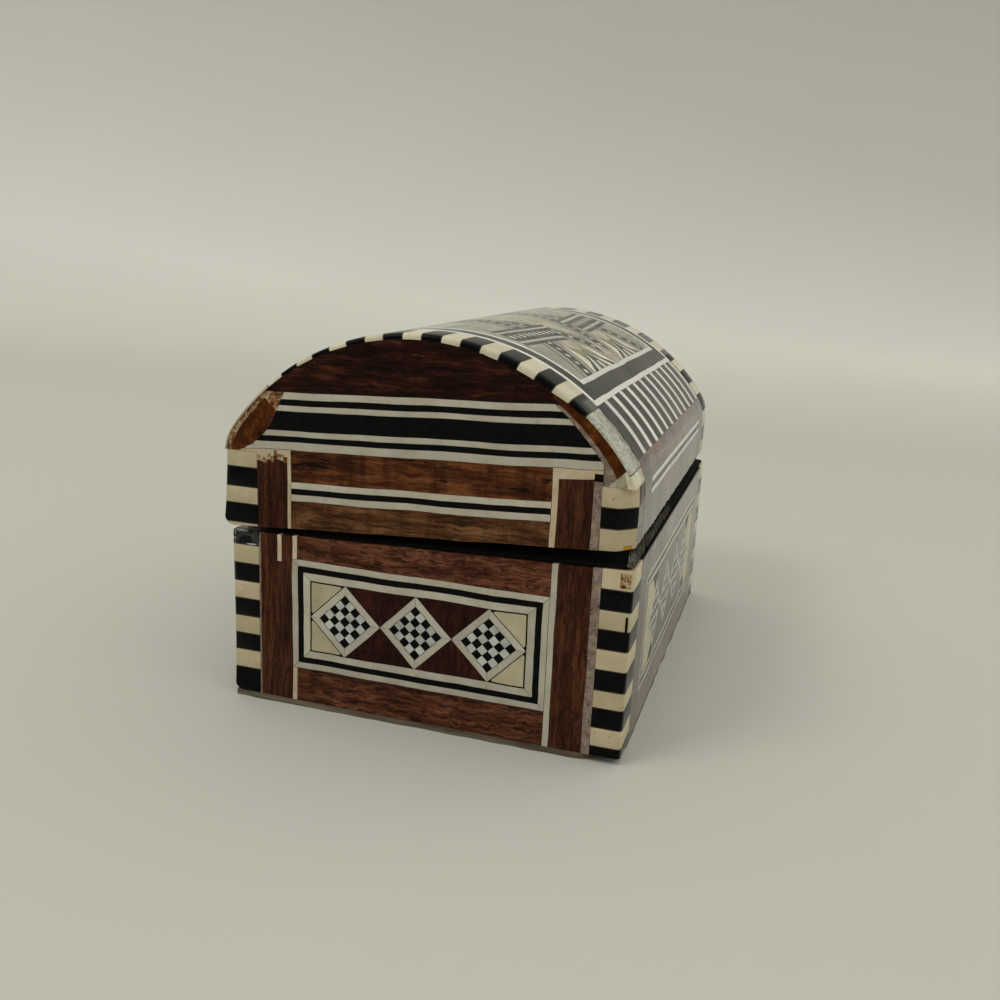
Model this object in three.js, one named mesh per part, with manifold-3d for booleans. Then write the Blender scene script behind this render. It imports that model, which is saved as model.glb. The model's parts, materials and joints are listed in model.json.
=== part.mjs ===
// A small domed wooden jewelry box, inlaid all over with bone, ebony and dyed wood.
// Millimetres, +Z up. X runs along the box, -Y is the front, the hinges are at +Y.
// The origin is on the table under the middle of the base.

import * as THREE from 'three';
import { mergeVertices } from 'three/addons/utils/BufferGeometryUtils.js';
import Module from 'manifold-3d';

const wasm = await Module();
wasm.setup();

// Base: outside sizes, and a rim that falls a little towards the back
const boxLength = 88;
const boxWidth = 66;
const rimHeight = 31;
const rimFall = 2.1;

// Walls: a board with a veneer of inlay glued over it
const boardThickness = 5.8;
const veneerThickness = 1.2;
const glueLine = 0.05;

// Bottom board: its edge shows all round, the rest sits up between the walls
const bottomEdge = 1.1;
const bottomThickness = 3;

// Corner posts, square sticks glued into rebates at the corners
const postLength = 7;
const basePostWidth = 4.8;
const lidFrontPostWidth = 5.1;
const lidBackPostWidth = 6.1;
const postRounding = 1.6;

// Lid: it sits a little back on the base, and the seam is wider at the front
const lidFrontInset = 0.5;
const lidBackOverhang = 1.5;
const seamAtFront = 2.9;
const seamAtBack = 0.85;
const lidRailHeight = 8.4;

// Vault: a wide arc that meets the upright faces in two rounded shoulders
const shoulderDrop = 0.77;
const vaultRise = 21.37;
const shoulderRadius = 8;
const vaultBoardThickness = 3;

// Inlay on the long sides of the base: a stringing ring round a panel
const longStileWidth = 6.5;
const longLowerRail = 5.2;
const longUpperRail = 4.8;
const longRingWidth = 2.3;

// Inlay on the ends of the base
const endFrontStile = 7.5;
const endBackStile = 6;
const endLowerRail = 5.8;
const endUpperRail = 5.6;
const endRingWidth = 3.2;

// Inlay on the ends of the lid: its bands run slightly uphill to the front
const bandSlope = -0.043;
const bandLift = 1.92;
const bandHeight = 9.18;
const bandInset = 3.4;

// Inlay on the vault, as widths along its curve from the shoulder up
const reedingLength = 10.1;
const ebonyBandWidth = 4.97;
const archStringingWidth = 5.4;

// Velvet lining of the base, with a lip that stands above the rim
const liningThickness = 1.2;
const liningClearance = 0.2;
const lipInset = 0.8;
const lipHeight = 1;
const flangeThickness = 0.5;
const flangeClearance = 0.1;
const flangeInset = 1.5;
const lidLiningGap = 0.35;

// Hinges
const hingeFromEnd = 22;
const hingeWidth = 12;
const hingeOverhang = 0.6;
const hingeLift = 0.5;
const leafLength = 3.4;
const leafThickness = 0.45;
const barrelRadius = 0.95;
const pinRadius = 0.42;
const pinClearance = 0.1;
const middleKnuckle = 4;
const knuckleGap = 0.12;
const mortiseClearance = 0.12;

// Drawing accuracy of the arcs, and how far cutting shapes reach past the box
const arcStep = 3;
const beyond = 60;

const colors = {
  plywood: 0xc9b48a,
  board: 0x8d6a43,
  rosewood: 0x4d2413,
  walnut: 0x3c1d10,
  bone: 0xd9d0ac,
  ebony: 0x17181a,
  pearl: 0xb9b8a4,
  filler: 0x7a4a1e,
  velvet: 0x121013,
  brass: 0xb08d48,
};

const box = new THREE.Group();
box.name = 'jewelry_box';

// Planes across the length, shared by base and lid
const halfLength = boxLength / 2;
const boardX = halfLength - veneerThickness;
const innerX = boardX - boardThickness;
const postX = halfLength - postLength;

// Planes across the width of one wall, from its outer face inwards
function wallPlanes(face, inward, postWidth) {
  return {
    face,
    board: face + inward * veneerThickness,
    post: face + inward * postWidth,
    inner: face + inward * (veneerThickness + boardThickness),
  };
}

const baseFront = wallPlanes(-boxWidth / 2, 1, basePostWidth);
const baseBack = wallPlanes(boxWidth / 2, -1, basePostWidth);
const lidFront = wallPlanes(baseFront.face + lidFrontInset, 1, lidFrontPostWidth);
const lidBack = wallPlanes(baseBack.face + lidBackOverhang, -1, lidBackPostWidth);
const lidMiddle = (lidFront.face + lidBack.face) / 2;
const lidHalfWidth = (lidBack.face - lidFront.face) / 2;

// Sloping planes, as a height over the middle of the box and a slope along Y
const rimSlope = -rimFall / boxWidth;
const rimMiddle = rimHeight - rimFall / 2;
const lidEdgeHeight = rimHeight + seamAtFront;
const lidEdgeFall = rimFall + seamAtFront - seamAtBack;
const lidEdgeSlope = -lidEdgeFall / (lidBack.face - lidFront.face);
const lidEdgeMiddle = lidEdgeHeight - lidEdgeSlope * lidFront.face;
const lidRailTop = lidEdgeHeight + lidRailHeight;
const bandBottom = lidRailTop + bandLift;
const bandTop = bandBottom + bandHeight;

// Outlines turned into solids

function shapeOf(points) {
  return new THREE.Shape(points.map(([u, v]) => new THREE.Vector2(u, v)));
}

function rectangle(u0, v0, u1, v1) {
  return [[u0, v0], [u1, v0], [u1, v1], [u0, v1]];
}

function extrude(shape, depth) {
  return new THREE.ExtrudeGeometry(shape, { depth, bevelEnabled: false, curveSegments: 6 });
}

// An outline in Y and Z, carried along X
function alongX(points, from, to) {
  const turn = new THREE.Matrix4().set(0, 0, 1, from, 1, 0, 0, 0, 0, 1, 0, 0, 0, 0, 0, 1);
  return toSolid(extrude(shapeOf(points), to - from).applyMatrix4(turn));
}

// An outline in X and Z, carried along Y
function alongY(points, from, to) {
  const turn = new THREE.Matrix4().set(1, 0, 0, 0, 0, 0, -1, to, 0, 1, 0, 0, 0, 0, 0, 1);
  return toSolid(extrude(shapeOf(points), to - from).applyMatrix4(turn));
}

// An outline in X and Y, carried up Z
function alongZ(shape, from, to) {
  return toSolid(extrude(shape, to - from).translate(0, 0, from));
}

function block(x0, x1, y0, y1, z0, z1) {
  return alongZ(shapeOf(rectangle(x0, y0, x1, y1)), z0, z1);
}

function rodAlongX(radius, x0, x1, y, z) {
  const geometry = new THREE.CylinderGeometry(radius, radius, x1 - x0, 20);
  geometry.rotateZ(Math.PI / 2);
  geometry.translate((x0 + x1) / 2, y, z);
  return toSolid(geometry);
}

function toSolid(geometry) {
  const bare = geometry.clone();
  bare.deleteAttribute('normal');
  bare.deleteAttribute('uv');
  const merged = mergeVertices(bare, 1e-5);
  const mesh = new wasm.Mesh({
    numProp: 3,
    vertProperties: Float32Array.from(merged.attributes.position.array),
    triVerts: Uint32Array.from(merged.index.array),
  });
  return new wasm.Manifold(mesh);
}

function toGeometry(solid) {
  const mesh = solid.getMesh();
  const geometry = new THREE.BufferGeometry();
  geometry.setAttribute('position', new THREE.BufferAttribute(mesh.vertProperties, 3));
  geometry.setIndex(new THREE.BufferAttribute(mesh.triVerts, 1));
  geometry.computeVertexNormals();
  return geometry;
}

function addPiece(name, solid, color, roughness = 0.35, metalness = 0) {
  const material = new THREE.MeshStandardMaterial({ color, roughness, metalness });
  const mesh = new THREE.Mesh(toGeometry(solid), material);
  mesh.name = name;
  box.add(mesh);
}

// What lies above, or below, a plane given by its middle height and its slope
function above(solid, height, slope = 0) {
  const length = Math.hypot(slope, 1);
  return solid.trimByPlane([0, -slope / length, 1 / length], height / length);
}

function below(solid, height, slope = 0) {
  const length = Math.hypot(slope, 1);
  return solid.trimByPlane([0, slope / length, -1 / length], -height / length);
}

const underRim = (solid) => below(solid, rimMiddle, rimSlope);
const overLidEdge = (solid) => above(solid, lidEdgeMiddle, lidEdgeSlope);

// The outside of the vault: a place on it is the angle of its normal from +Y,
// and the layers under it are told by how far in they lie
const shoulderY = lidHalfWidth - shoulderRadius;
const shoulderZ = lidRailTop - shoulderDrop;
const vaultTop = shoulderZ + vaultRise;
const vaultRadius = (shoulderY ** 2 + vaultRise ** 2 - shoulderRadius ** 2)
  / (2 * (vaultRise - shoulderRadius));
const vaultCenterZ = vaultTop - vaultRadius;
const shoulderAngle = THREE.MathUtils.radToDeg(Math.atan2(shoulderZ - vaultCenterZ, shoulderY));
const arcAngle = (length) => THREE.MathUtils.radToDeg(length / vaultRadius);
const reedingAngle = 90 - shoulderAngle;
const ebonyAngle = reedingAngle - arcAngle(reedingLength);
const mosaicAngle = ebonyAngle - arcAngle(ebonyBandWidth);

function vaultPoint(angle, inset) {
  const onShoulder = angle < shoulderAngle || angle > 180 - shoulderAngle;
  const side = angle < 90 ? 1 : -1;
  const radius = (onShoulder ? shoulderRadius : vaultRadius) - inset;
  const y = lidMiddle + (onShoulder ? side * shoulderY : 0);
  const z = onShoulder ? shoulderZ : vaultCenterZ;
  const turn = THREE.MathUtils.degToRad(angle);
  return [y + radius * Math.cos(turn), z + radius * Math.sin(turn)];
}

function vaultLine(from, to, inset) {
  const joins = [shoulderAngle, 180 - shoulderAngle].filter((angle) => angle > from && angle < to);
  const stops = [from, ...joins, to];
  const line = [];
  stops.slice(1).forEach((end, i) => {
    const start = stops[i];
    const steps = Math.ceil((end - start) / arcStep);
    for (let k = 0; k < steps; k += 1) {
      line.push(vaultPoint(start + ((end - start) * k) / steps, inset));
    }
  });
  line.push(vaultPoint(to, inset));
  return line;
}

// A layer of the vault between two angles
function vaultStrip(from, to, outer, inner, x0, x1) {
  return alongX([...vaultLine(from, to, outer), ...vaultLine(from, to, inner).reverse()], x0, x1);
}

// Everything inside the outline of the lid, from the table up
function lidFill(inset, x0, x1) {
  const reach = lidHalfWidth - inset;
  const feet = [[lidMiddle - reach, 0], [lidMiddle + reach, 0]];
  return alongX([...feet, ...vaultLine(0, 180, inset)], x0, x1);
}

// Boards and posts

// A long board, rebated at both ends for the corner posts
function longBoard(wall, bottom, top) {
  const points = [
    [-boardX, wall.inner], [boardX, wall.inner], [boardX, wall.post], [postX, wall.post],
    [postX, wall.board], [-postX, wall.board], [-postX, wall.post], [-boardX, wall.post],
  ];
  return alongZ(shapeOf(points), bottom, top);
}

// A corner post, with its outer edge rounded
function cornerPost(wall, signX, bottom, top) {
  const outX = signX * halfLength;
  const inX = signX * postX;
  const roundX = outX - signX * postRounding;
  const roundY = wall.face + Math.sign(wall.post - wall.face) * postRounding;
  const shape = new THREE.Shape();
  shape.moveTo(inX, wall.post);
  shape.lineTo(outX, wall.post);
  shape.lineTo(outX, roundY);
  shape.quadraticCurveTo(outX, wall.face, roundX, wall.face);
  shape.lineTo(inX, wall.face);
  shape.closePath();
  return alongZ(shape, bottom, top);
}

// The room that the two leaves of each hinge are let into
function hingeMortises(bottom, top) {
  const reach = hingeWidth / 2 + mortiseClearance;
  const start = hingeY - barrelRadius - mortiseClearance * 2 - leafLength;
  const cuts = hingeCenters.map((x) => block(x - reach, x + reach, start, beyond, bottom, top));
  return cuts[0].add(cuts[1]);
}

const hingeCenters = [hingeFromEnd - halfLength, halfLength - hingeFromEnd];
const hingeY = baseBack.face + hingeOverhang;
const hingeZ = rimHeight - rimFall + hingeLift;
const mortiseDepth = barrelRadius + mortiseClearance;
const baseMortises = hingeMortises(hingeZ - mortiseDepth, beyond);
const lidMortises = hingeMortises(0, hingeZ + mortiseDepth);

function addBaseBoards() {
  const edge = block(-halfLength, halfLength, baseFront.face, baseBack.face, 0, bottomEdge);
  const inside = block(-innerX, innerX, baseFront.inner, baseBack.inner, 0, bottomThickness);
  addPiece('base_floor_board', edge.add(inside), colors.plywood, 0.8);
  const front = underRim(longBoard(baseFront, bottomEdge, beyond));
  const back = underRim(longBoard(baseBack, bottomEdge, beyond)).subtract(baseMortises);
  addPiece('base_front_board', front, colors.board, 0.8);
  addPiece('base_back_board', back, colors.board, 0.8);
  const left = block(-boardX, -innerX, baseFront.inner, baseBack.inner, bottomEdge, beyond);
  const right = block(innerX, boardX, baseFront.inner, baseBack.inner, bottomEdge, beyond);
  addPiece('base_left_board', underRim(left), colors.board, 0.8);
  addPiece('base_right_board', underRim(right), colors.board, 0.8);
}

function addBasePosts() {
  const post = (wall, signX) => underRim(cornerPost(wall, signX, bottomEdge, beyond));
  addPiece('base_post_front_left', post(baseFront, -1), colors.bone);
  addPiece('base_post_front_right', post(baseFront, 1), colors.bone);
  addPiece('base_post_back_left', post(baseBack, -1), colors.bone);
  addPiece('base_post_back_right', post(baseBack, 1), colors.bone);
}

// One side of the base: a wooden surround, a stringing ring and a panel inside it
function addBaseSide(name, carry, field, ring, ringWidth) {
  const [u0, v0, u1, v1] = ring;
  const outer = carry(rectangle(...ring));
  const panel = carry(rectangle(u0 + ringWidth, v0 + ringWidth, u1 - ringWidth, v1 - ringWidth));
  const surround = underRim(carry(rectangle(...field))).subtract(outer);
  addPiece(`base_${name}_surround`, surround.subtract(baseMortises), colors.rosewood);
  addPiece(`base_${name}_ring`, outer.subtract(panel), colors.bone);
  addPiece(`base_${name}_panel`, panel, colors.walnut);
}

function addBaseSides() {
  const longReach = postX - longStileWidth;
  const longRing = [-longReach, bottomEdge + longLowerRail, longReach, rimHeight - longUpperRail];
  const longField = [-postX, bottomEdge, postX, beyond];
  const front = (points) => alongY(points, baseFront.face, baseFront.board);
  const back = (points) => alongY(points, baseBack.board, baseBack.face);
  addBaseSide('front', front, longField, longRing, longRingWidth);
  addBaseSide('back', back, longField, longRing, longRingWidth);
  const endRing = [
    baseFront.post + endFrontStile, bottomEdge + endLowerRail,
    baseBack.post - endBackStile, rimHeight - endUpperRail,
  ];
  const endField = [baseFront.post, bottomEdge, baseBack.post, beyond];
  const left = (points) => alongX(points, -halfLength, -boardX);
  const right = (points) => alongX(points, boardX, halfLength);
  addBaseSide('left', left, endField, endRing, endRingWidth);
  addBaseSide('right', right, endField, endRing, endRingWidth);
}

// The lining of the base: walls below the rim, a lip above it, and a flange over
// the front and end rims
const liningX = innerX - liningClearance;
const lipX = innerX - lipInset;
const lipFront = baseFront.inner + lipInset;
const lipBack = baseBack.inner - lipInset;
const lipMiddle = lidEdgeMiddle + lipHeight;

function addBaseLiner() {
  const bottom = bottomThickness + glueLine;
  const front = baseFront.inner + liningClearance;
  const back = baseBack.inner - liningClearance;
  const walls = underRim(block(-liningX, liningX, front, back, bottom, beyond));
  const lip = below(block(-lipX, lipX, lipFront, lipBack, bottom, beyond), lipMiddle, lidEdgeSlope);
  const flangeX = halfLength - flangeInset;
  const plate = block(-flangeX, flangeX, baseFront.face + flangeInset, lipBack, bottom, beyond);
  const flangeBottom = rimMiddle + flangeClearance;
  const overGap = above(plate, flangeBottom, rimSlope);
  const flange = below(overGap, flangeBottom + flangeThickness, rimSlope);
  const hollow = block(
    -lipX + liningThickness, lipX - liningThickness,
    lipFront + liningThickness, lipBack - liningThickness,
    bottom + liningThickness, beyond,
  );
  addPiece('base_liner', walls.add(lip).add(flange).subtract(hollow), colors.velvet, 1);
}

// The lid

function addLidBoards() {
  const front = overLidEdge(longBoard(lidFront, 0, lidRailTop));
  const back = overLidEdge(longBoard(lidBack, 0, lidRailTop)).subtract(lidMortises);
  addPiece('lid_front_board', front, colors.board, 0.8);
  addPiece('lid_back_board', back, colors.board, 0.8);
  const vaultOuter = lidFill(veneerThickness, -boardX, boardX);
  const vaultInner = lidFill(veneerThickness + vaultBoardThickness, -halfLength, halfLength);
  addPiece('lid_vault_board', above(vaultOuter.subtract(vaultInner), lidRailTop), colors.board, 0.8);
  const under = veneerThickness + vaultBoardThickness + glueLine;
  const gable = (x0, x1) => steppedEnd(under, lidFront.inner, lidBack.inner, x0, x1);
  addPiece('lid_left_gable', gable(-boardX, -innerX), colors.board, 0.8);
  addPiece('lid_right_gable', gable(innerX, boardX), colors.board, 0.8);
}

// One end of the lid under an inset, stepped in over the rails or posts beside it
function steppedEnd(inset, front, back, x0, x1) {
  const frontStep = block(x0, x1, -beyond, front, 0, lidRailTop);
  const backStep = block(x0, x1, back, beyond, 0, lidRailTop);
  return overLidEdge(lidFill(inset, x0, x1).subtract(frontStep).subtract(backStep));
}

function addLidPosts() {
  const post = (wall, signX) => overLidEdge(cornerPost(wall, signX, 0, lidRailTop));
  addPiece('lid_post_front_left', post(lidFront, -1), colors.bone);
  addPiece('lid_post_front_right', post(lidFront, 1), colors.bone);
  addPiece('lid_post_back_left', post(lidBack, -1), colors.bone);
  addPiece('lid_post_back_right', post(lidBack, 1), colors.bone);
}

// One end of the lid: a skirt, straight bands and a lunette, with filler at the
// feet of the arch
function addLidEnd(name, x0, x1) {
  const field = steppedEnd(veneerThickness + glueLine, lidFront.post, lidBack.post, x0, x1);
  const between = block(x0, x1, lidFront.post, lidBack.post, 0, beyond);
  const skirt = below(field.intersect(between), bandBottom, bandSlope);
  const underLunette = below(field, bandTop, bandSlope);
  const inner = below(between, bandBottom + glueLine, bandSlope);
  const arch = above(lidFill(bandInset, x0, x1), bandBottom, bandSlope);
  const feet = underLunette.subtract(arch).subtract(inner);
  const frontHalf = block(x0, x1, -beyond, lidMiddle, 0, beyond);
  addPiece(`lid_${name}_skirt`, skirt, colors.rosewood);
  addPiece(`lid_${name}_bands`, underLunette.intersect(arch), colors.ebony);
  addPiece(`lid_${name}_lunette`, above(field, bandTop, bandSlope), colors.walnut);
  addPiece(`lid_${name}_filler_front`, feet.intersect(frontHalf), colors.filler, 0.7);
  addPiece(`lid_${name}_filler_back`, feet.subtract(frontHalf), colors.filler, 0.7);
}

// The veneers laid over the vault
function addVaultInlay() {
  const inner = veneerThickness - glueLine;
  const strip = (name, from, to, x0, x1, color) => {
    addPiece(name, vaultStrip(90 + from, 90 + to, 0, inner, x0, x1), color);
  };
  const stringingX = postX - archStringingWidth;
  const edging = (x0, x1) => above(vaultStrip(0, 180, 0, inner, x0, x1), lidRailTop);
  addPiece('lid_left_edging', edging(-halfLength, -postX), colors.bone);
  addPiece('lid_right_edging', edging(postX, halfLength), colors.bone);
  strip('lid_left_arch_stringing', -ebonyAngle, ebonyAngle, -postX, -stringingX, colors.ebony);
  strip('lid_right_arch_stringing', -ebonyAngle, ebonyAngle, stringingX, postX, colors.ebony);
  strip('lid_vault_mosaic', -mosaicAngle, mosaicAngle, -stringingX, stringingX, colors.pearl);
  strip('lid_front_ebony_band', mosaicAngle, ebonyAngle, -stringingX, stringingX, colors.ebony);
  strip('lid_back_ebony_band', -ebonyAngle, -mosaicAngle, -stringingX, stringingX, colors.ebony);
  strip('lid_front_reeding', ebonyAngle, reedingAngle, -postX, postX, colors.ebony);
  strip('lid_back_reeding', -reedingAngle, -ebonyAngle, -postX, postX, colors.ebony);
}

// The veneers on the long faces of the lid, from its edge up over the shoulder
function addLongSkirts() {
  const inner = veneerThickness - glueLine;
  const frontPoints = [
    ...vaultLine(90 + reedingAngle, 180, 0), [lidFront.face, 0],
    [lidFront.face + inner, 0], ...vaultLine(90 + reedingAngle, 180, inner).reverse(),
  ];
  const backPoints = [
    [lidBack.face, 0], ...vaultLine(0, 90 - reedingAngle, 0),
    ...vaultLine(0, 90 - reedingAngle, inner).reverse(), [lidBack.face - inner, 0],
  ];
  const front = overLidEdge(alongX(frontPoints, -postX, postX));
  const back = overLidEdge(alongX(backPoints, -postX, postX)).subtract(lidMortises);
  addPiece('lid_front_skirt', front, colors.rosewood);
  addPiece('lid_back_skirt', back, colors.rosewood);
}

// The lining of the lid, hung under the vault just clear of the lip
function addLidLiner() {
  const depth = veneerThickness + vaultBoardThickness + liningClearance;
  const lining = (wall) => {
    const reach = liningX - wall;
    const front = lidFront.inner + liningClearance + wall;
    const back = lidBack.inner - liningClearance - wall;
    return lidFill(depth + wall, -reach, reach).intersect(block(-reach, reach, front, back, 0, beyond));
  };
  const shell = lining(0).subtract(lining(liningThickness));
  const lifted = above(shell, lipMiddle + lidLiningGap, lidEdgeSlope);
  addPiece('lid_liner', lifted, colors.velvet, 1);
}

// One brass butt hinge, its leaves let into the rim and into the edge of the lid
function addHinge(name, x) {
  const half = hingeWidth / 2;
  const middle = middleKnuckle / 2;
  const plateEnd = hingeY - barrelRadius - mortiseClearance;
  const baseLeafZ = hingeZ - barrelRadius;
  const lidLeafZ = hingeZ + barrelRadius - leafThickness;
  const plate = (z) => block(x - half, x + half, plateEnd - leafLength, plateEnd, z, z + leafThickness);
  const knuckle = (x0, x1, z) => rodAlongX(barrelRadius, x0, x1, hingeY, hingeZ)
    .add(block(x0, x1, plateEnd - leafThickness, hingeY, z, z + leafThickness));
  const bore = rodAlongX(pinRadius + pinClearance, x - hingeWidth, x + hingeWidth, hingeY, hingeZ);
  const baseLeaf = plate(baseLeafZ)
    .add(knuckle(x - half, x - middle - knuckleGap, baseLeafZ))
    .add(knuckle(x + middle + knuckleGap, x + half, baseLeafZ));
  const lidLeaf = plate(lidLeafZ).add(knuckle(x - middle, x + middle, lidLeafZ));
  addPiece(`hinge_${name}_base_leaf`, baseLeaf.subtract(bore), colors.brass, 0.4, 1);
  addPiece(`hinge_${name}_lid_leaf`, lidLeaf.subtract(bore), colors.brass, 0.4, 1);
  addPiece(`hinge_${name}_pin`, rodAlongX(pinRadius, x - half, x + half, hingeY, hingeZ), colors.brass, 0.4, 1);
}

addBaseBoards();
addBasePosts();
addBaseSides();
addBaseLiner();
addLidBoards();
addLidPosts();
addLidEnd('left', -halfLength, -boardX);
addLidEnd('right', boardX, halfLength);
addVaultInlay();
addLongSkirts();
addLidLiner();
addHinge('left', hingeCenters[0]);
addHinge('right', hingeCenters[1]);

export default box;
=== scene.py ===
import json
import math
import random
import zlib
import bmesh
import bpy
from mathutils import Matrix, Vector, noise

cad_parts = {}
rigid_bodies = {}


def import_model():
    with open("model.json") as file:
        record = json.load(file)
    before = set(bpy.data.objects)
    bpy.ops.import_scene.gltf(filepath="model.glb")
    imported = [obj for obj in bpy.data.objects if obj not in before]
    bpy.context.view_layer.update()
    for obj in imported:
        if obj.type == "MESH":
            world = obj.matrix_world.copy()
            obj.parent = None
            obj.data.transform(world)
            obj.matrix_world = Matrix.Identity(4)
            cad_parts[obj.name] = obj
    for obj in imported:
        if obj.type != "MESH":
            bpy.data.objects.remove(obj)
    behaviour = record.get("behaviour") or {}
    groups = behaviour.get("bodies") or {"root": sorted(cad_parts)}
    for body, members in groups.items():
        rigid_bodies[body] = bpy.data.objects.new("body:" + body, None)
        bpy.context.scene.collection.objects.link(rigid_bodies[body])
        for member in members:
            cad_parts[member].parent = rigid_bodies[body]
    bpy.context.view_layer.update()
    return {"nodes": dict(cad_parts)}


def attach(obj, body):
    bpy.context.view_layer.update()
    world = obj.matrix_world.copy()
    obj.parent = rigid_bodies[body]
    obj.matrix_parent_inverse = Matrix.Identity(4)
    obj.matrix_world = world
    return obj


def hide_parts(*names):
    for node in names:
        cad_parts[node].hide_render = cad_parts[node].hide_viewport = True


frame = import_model()

# pieces are drawn in millimetres and taken to metres when they are put in place
mm = 0.001
halfLength, halfDepth = 44, 33  # of the base, outside
lidHalfDepth = 33.5
plyTop = 1.1  # the veneers stand on the bottom board
postStart = 37  # where the corner posts begin, along the box
stileStart, stileEnd = 30.5, 36.75  # the upright strips beside them, front and back
hingeNotch = {"near": 15.88, "far": 28.12, "baseTop": 28.33, "lidFoot": 30.47}


cameraView = {
    "place": (-184.01, -54.34, 76.03),
    "right": (0.29906, -0.95314, 0.04577),
    "down": (-0.21901, -0.11524, -0.96889),
    "forward": (0.92876, 0.27973, -0.24321),
    "lens": 36.657,
}


def addCamera(view):
    bpy.ops.object.camera_add()
    camera = bpy.context.object
    axes = [Vector(view["right"]), -Vector(view["down"]), -Vector(view["forward"])]
    turn = Matrix(axes).transposed().to_4x4()
    camera.matrix_world = Matrix.Translation(Vector(view["place"]) * mm) @ turn
    camera.data.sensor_width = 36
    camera.data.lens = view["lens"]
    camera.data.clip_start = 0.01
    bpy.context.scene.camera = camera


def put(tree, kind, inputs=None, **settings):
    node = tree.nodes.new("ShaderNode" + kind)
    for key, value in settings.items():
        setattr(node, key, value)
    for key, value in (inputs or {}).items():
        if isinstance(value, bpy.types.NodeSocket):
            tree.links.new(value, node.inputs[key])
        else:
            node.inputs[key].default_value = value
    return node


def ramp(tree, fac, stops):
    node = put(tree, "ValToRGB", {"Fac": fac})
    elements = node.color_ramp.elements
    while len(elements) < len(stops):
        elements.new(0.5)
    for element, (place, color) in zip(elements, stops):
        element.position = place
        element.color = tint(color)
    return node.outputs["Color"]


# a colour as it is seen on screen, made ready for a socket
def tint(color):
    parts = [n / 255 for n in color]
    return (*(c / 12.92 if c < 0.04045 else ((c + 0.055) / 1.055) ** 2.4 for c in parts), 1)


def grey(tree, fac, low, high, outLow=0.0, outHigh=1.0):
    ends = {"From Min": low, "From Max": high, "To Min": outLow, "To Max": outHigh}
    return put(tree, "MapRange", {"Value": fac, **ends}).outputs["Result"]


def cloud(tree, vector, scale, detail=3.0, rough=0.5, twist=0.0):
    shape = {"Scale": scale, "Detail": detail, "Roughness": rough, "Distortion": twist}
    return put(tree, "TexNoise", {"Vector": vector, **shape}).outputs["Fac"]


def mix(tree, fac, one, two, how="MIX"):
    node = put(tree, "MixRGB", {"Fac": fac, "Color1": one, "Color2": two}, blend_type=how)
    return node.outputs["Color"]


def calc(tree, one, two, how="MULTIPLY"):
    return put(tree, "Math", {0: one, 1: two}, operation=how).outputs[0]


# object coordinates, shifted for each tile so that neighbours don't share a figure
def tileCoordinates(tree, stretch=(1, 1, 1), shift=0.21):
    place = put(tree, "TexCoord").outputs["Object"]
    tone = put(tree, "Attribute", attribute_name="tone").outputs["Fac"]
    moved = put(tree, "VectorMath", {0: place, 1: calc(tree, tone, shift)}, operation="ADD").outputs["Vector"]
    mapped = put(tree, "Mapping", {"Vector": moved, "Scale": stretch}).outputs["Vector"]
    return mapped, tone


def surfaceOf(name):
    material = bpy.data.materials.new(name)
    material.use_nodes = True
    return material, material.node_tree, material.node_tree.nodes["Principled BSDF"]


# thick lacquer over everything: two soft scales of unevenness in the gloss
def lacquer(tree, surface, color, rough, relief=None, depth=0.00003, coat=0.43, wet=0.04):
    place = put(tree, "TexCoord").outputs["Object"]
    tree.links.new(color, surface.inputs["Base Color"])
    slow = cloud(tree, place, 190, 2)
    quick = cloud(tree, place, 1300, 2)
    height = calc(tree, slow, calc(tree, quick, 0.12), "ADD")
    swell = put(tree, "Bump", {"Strength": 0.55, "Distance": 0.00022, "Height": height}).outputs["Normal"]
    tree.links.new(swell, surface.inputs["Coat Normal"])
    if relief is not None:
        fine = put(tree, "Bump", {"Strength": 0.7, "Distance": depth, "Height": relief, "Normal": swell})
        tree.links.new(fine.outputs["Normal"], surface.inputs["Normal"])
    else:
        tree.links.new(swell, surface.inputs["Normal"])
    smear = cloud(tree, place, 75, 4, 0.6)
    tree.links.new(grey(tree, smear, 0.35, 0.7, rough * 0.8, rough * 1.5), surface.inputs["Roughness"])
    facing = put(tree, "LayerWeight", {"Blend": 0.5}).outputs["Facing"]
    tree.links.new(grey(tree, facing, 0.2, 0.65, wet, coat), surface.inputs["Coat Weight"])
    surface.inputs["Coat Roughness"].default_value = 0.06
    surface.inputs["Specular IOR Level"].default_value = 0.04


# each tile a little lighter or darker than the next
def vary(tree, color, tone, low, high, blue=1.0):
    level = grey(tree, tone, 0, 1, low, high)
    shade = put(tree, "CombineColor", {"Red": level, "Green": level, "Blue": calc(tree, level, blue)})
    return mix(tree, 1.0, color, shade.outputs["Color"], "MULTIPLY")


def bone(name, pale, dark, spots=0.5):
    material, tree, surface = surfaceOf(name)
    place, tone = tileCoordinates(tree)
    soft = cloud(tree, place, 260, 4, 0.6)
    color = vary(tree, ramp(tree, soft, [(0.25, dark), (0.75, pale)]), tone, 0.86, 1.04, 0.985)
    fleck = cloud(tree, place, 1500, 2, 0.7)
    color = mix(tree, grey(tree, fleck, 0.66, 0.76, 0, spots), color, tint((94, 74, 48)))
    dirt = cloud(tree, place, 420, 5, 0.7)
    color = mix(tree, grey(tree, dirt, 0.58, 0.78, 0, 0.35), color, tint((150, 130, 92)))
    lacquer(tree, surface, color, 0.3, fleck)
    return material


def ebony(name, color, sheen, wet=0.04):
    material, tree, surface = surfaceOf(name)
    place, _ = tileCoordinates(tree, (0.3, 1, 1))
    streak = cloud(tree, place, 900, 3, 0.6)
    found = ramp(tree, streak, [(0.3, color), (0.8, sheen)])
    lacquer(tree, surface, found, 0.26, streak, 0.00001, max(0.46, wet), wet)
    return material


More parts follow.
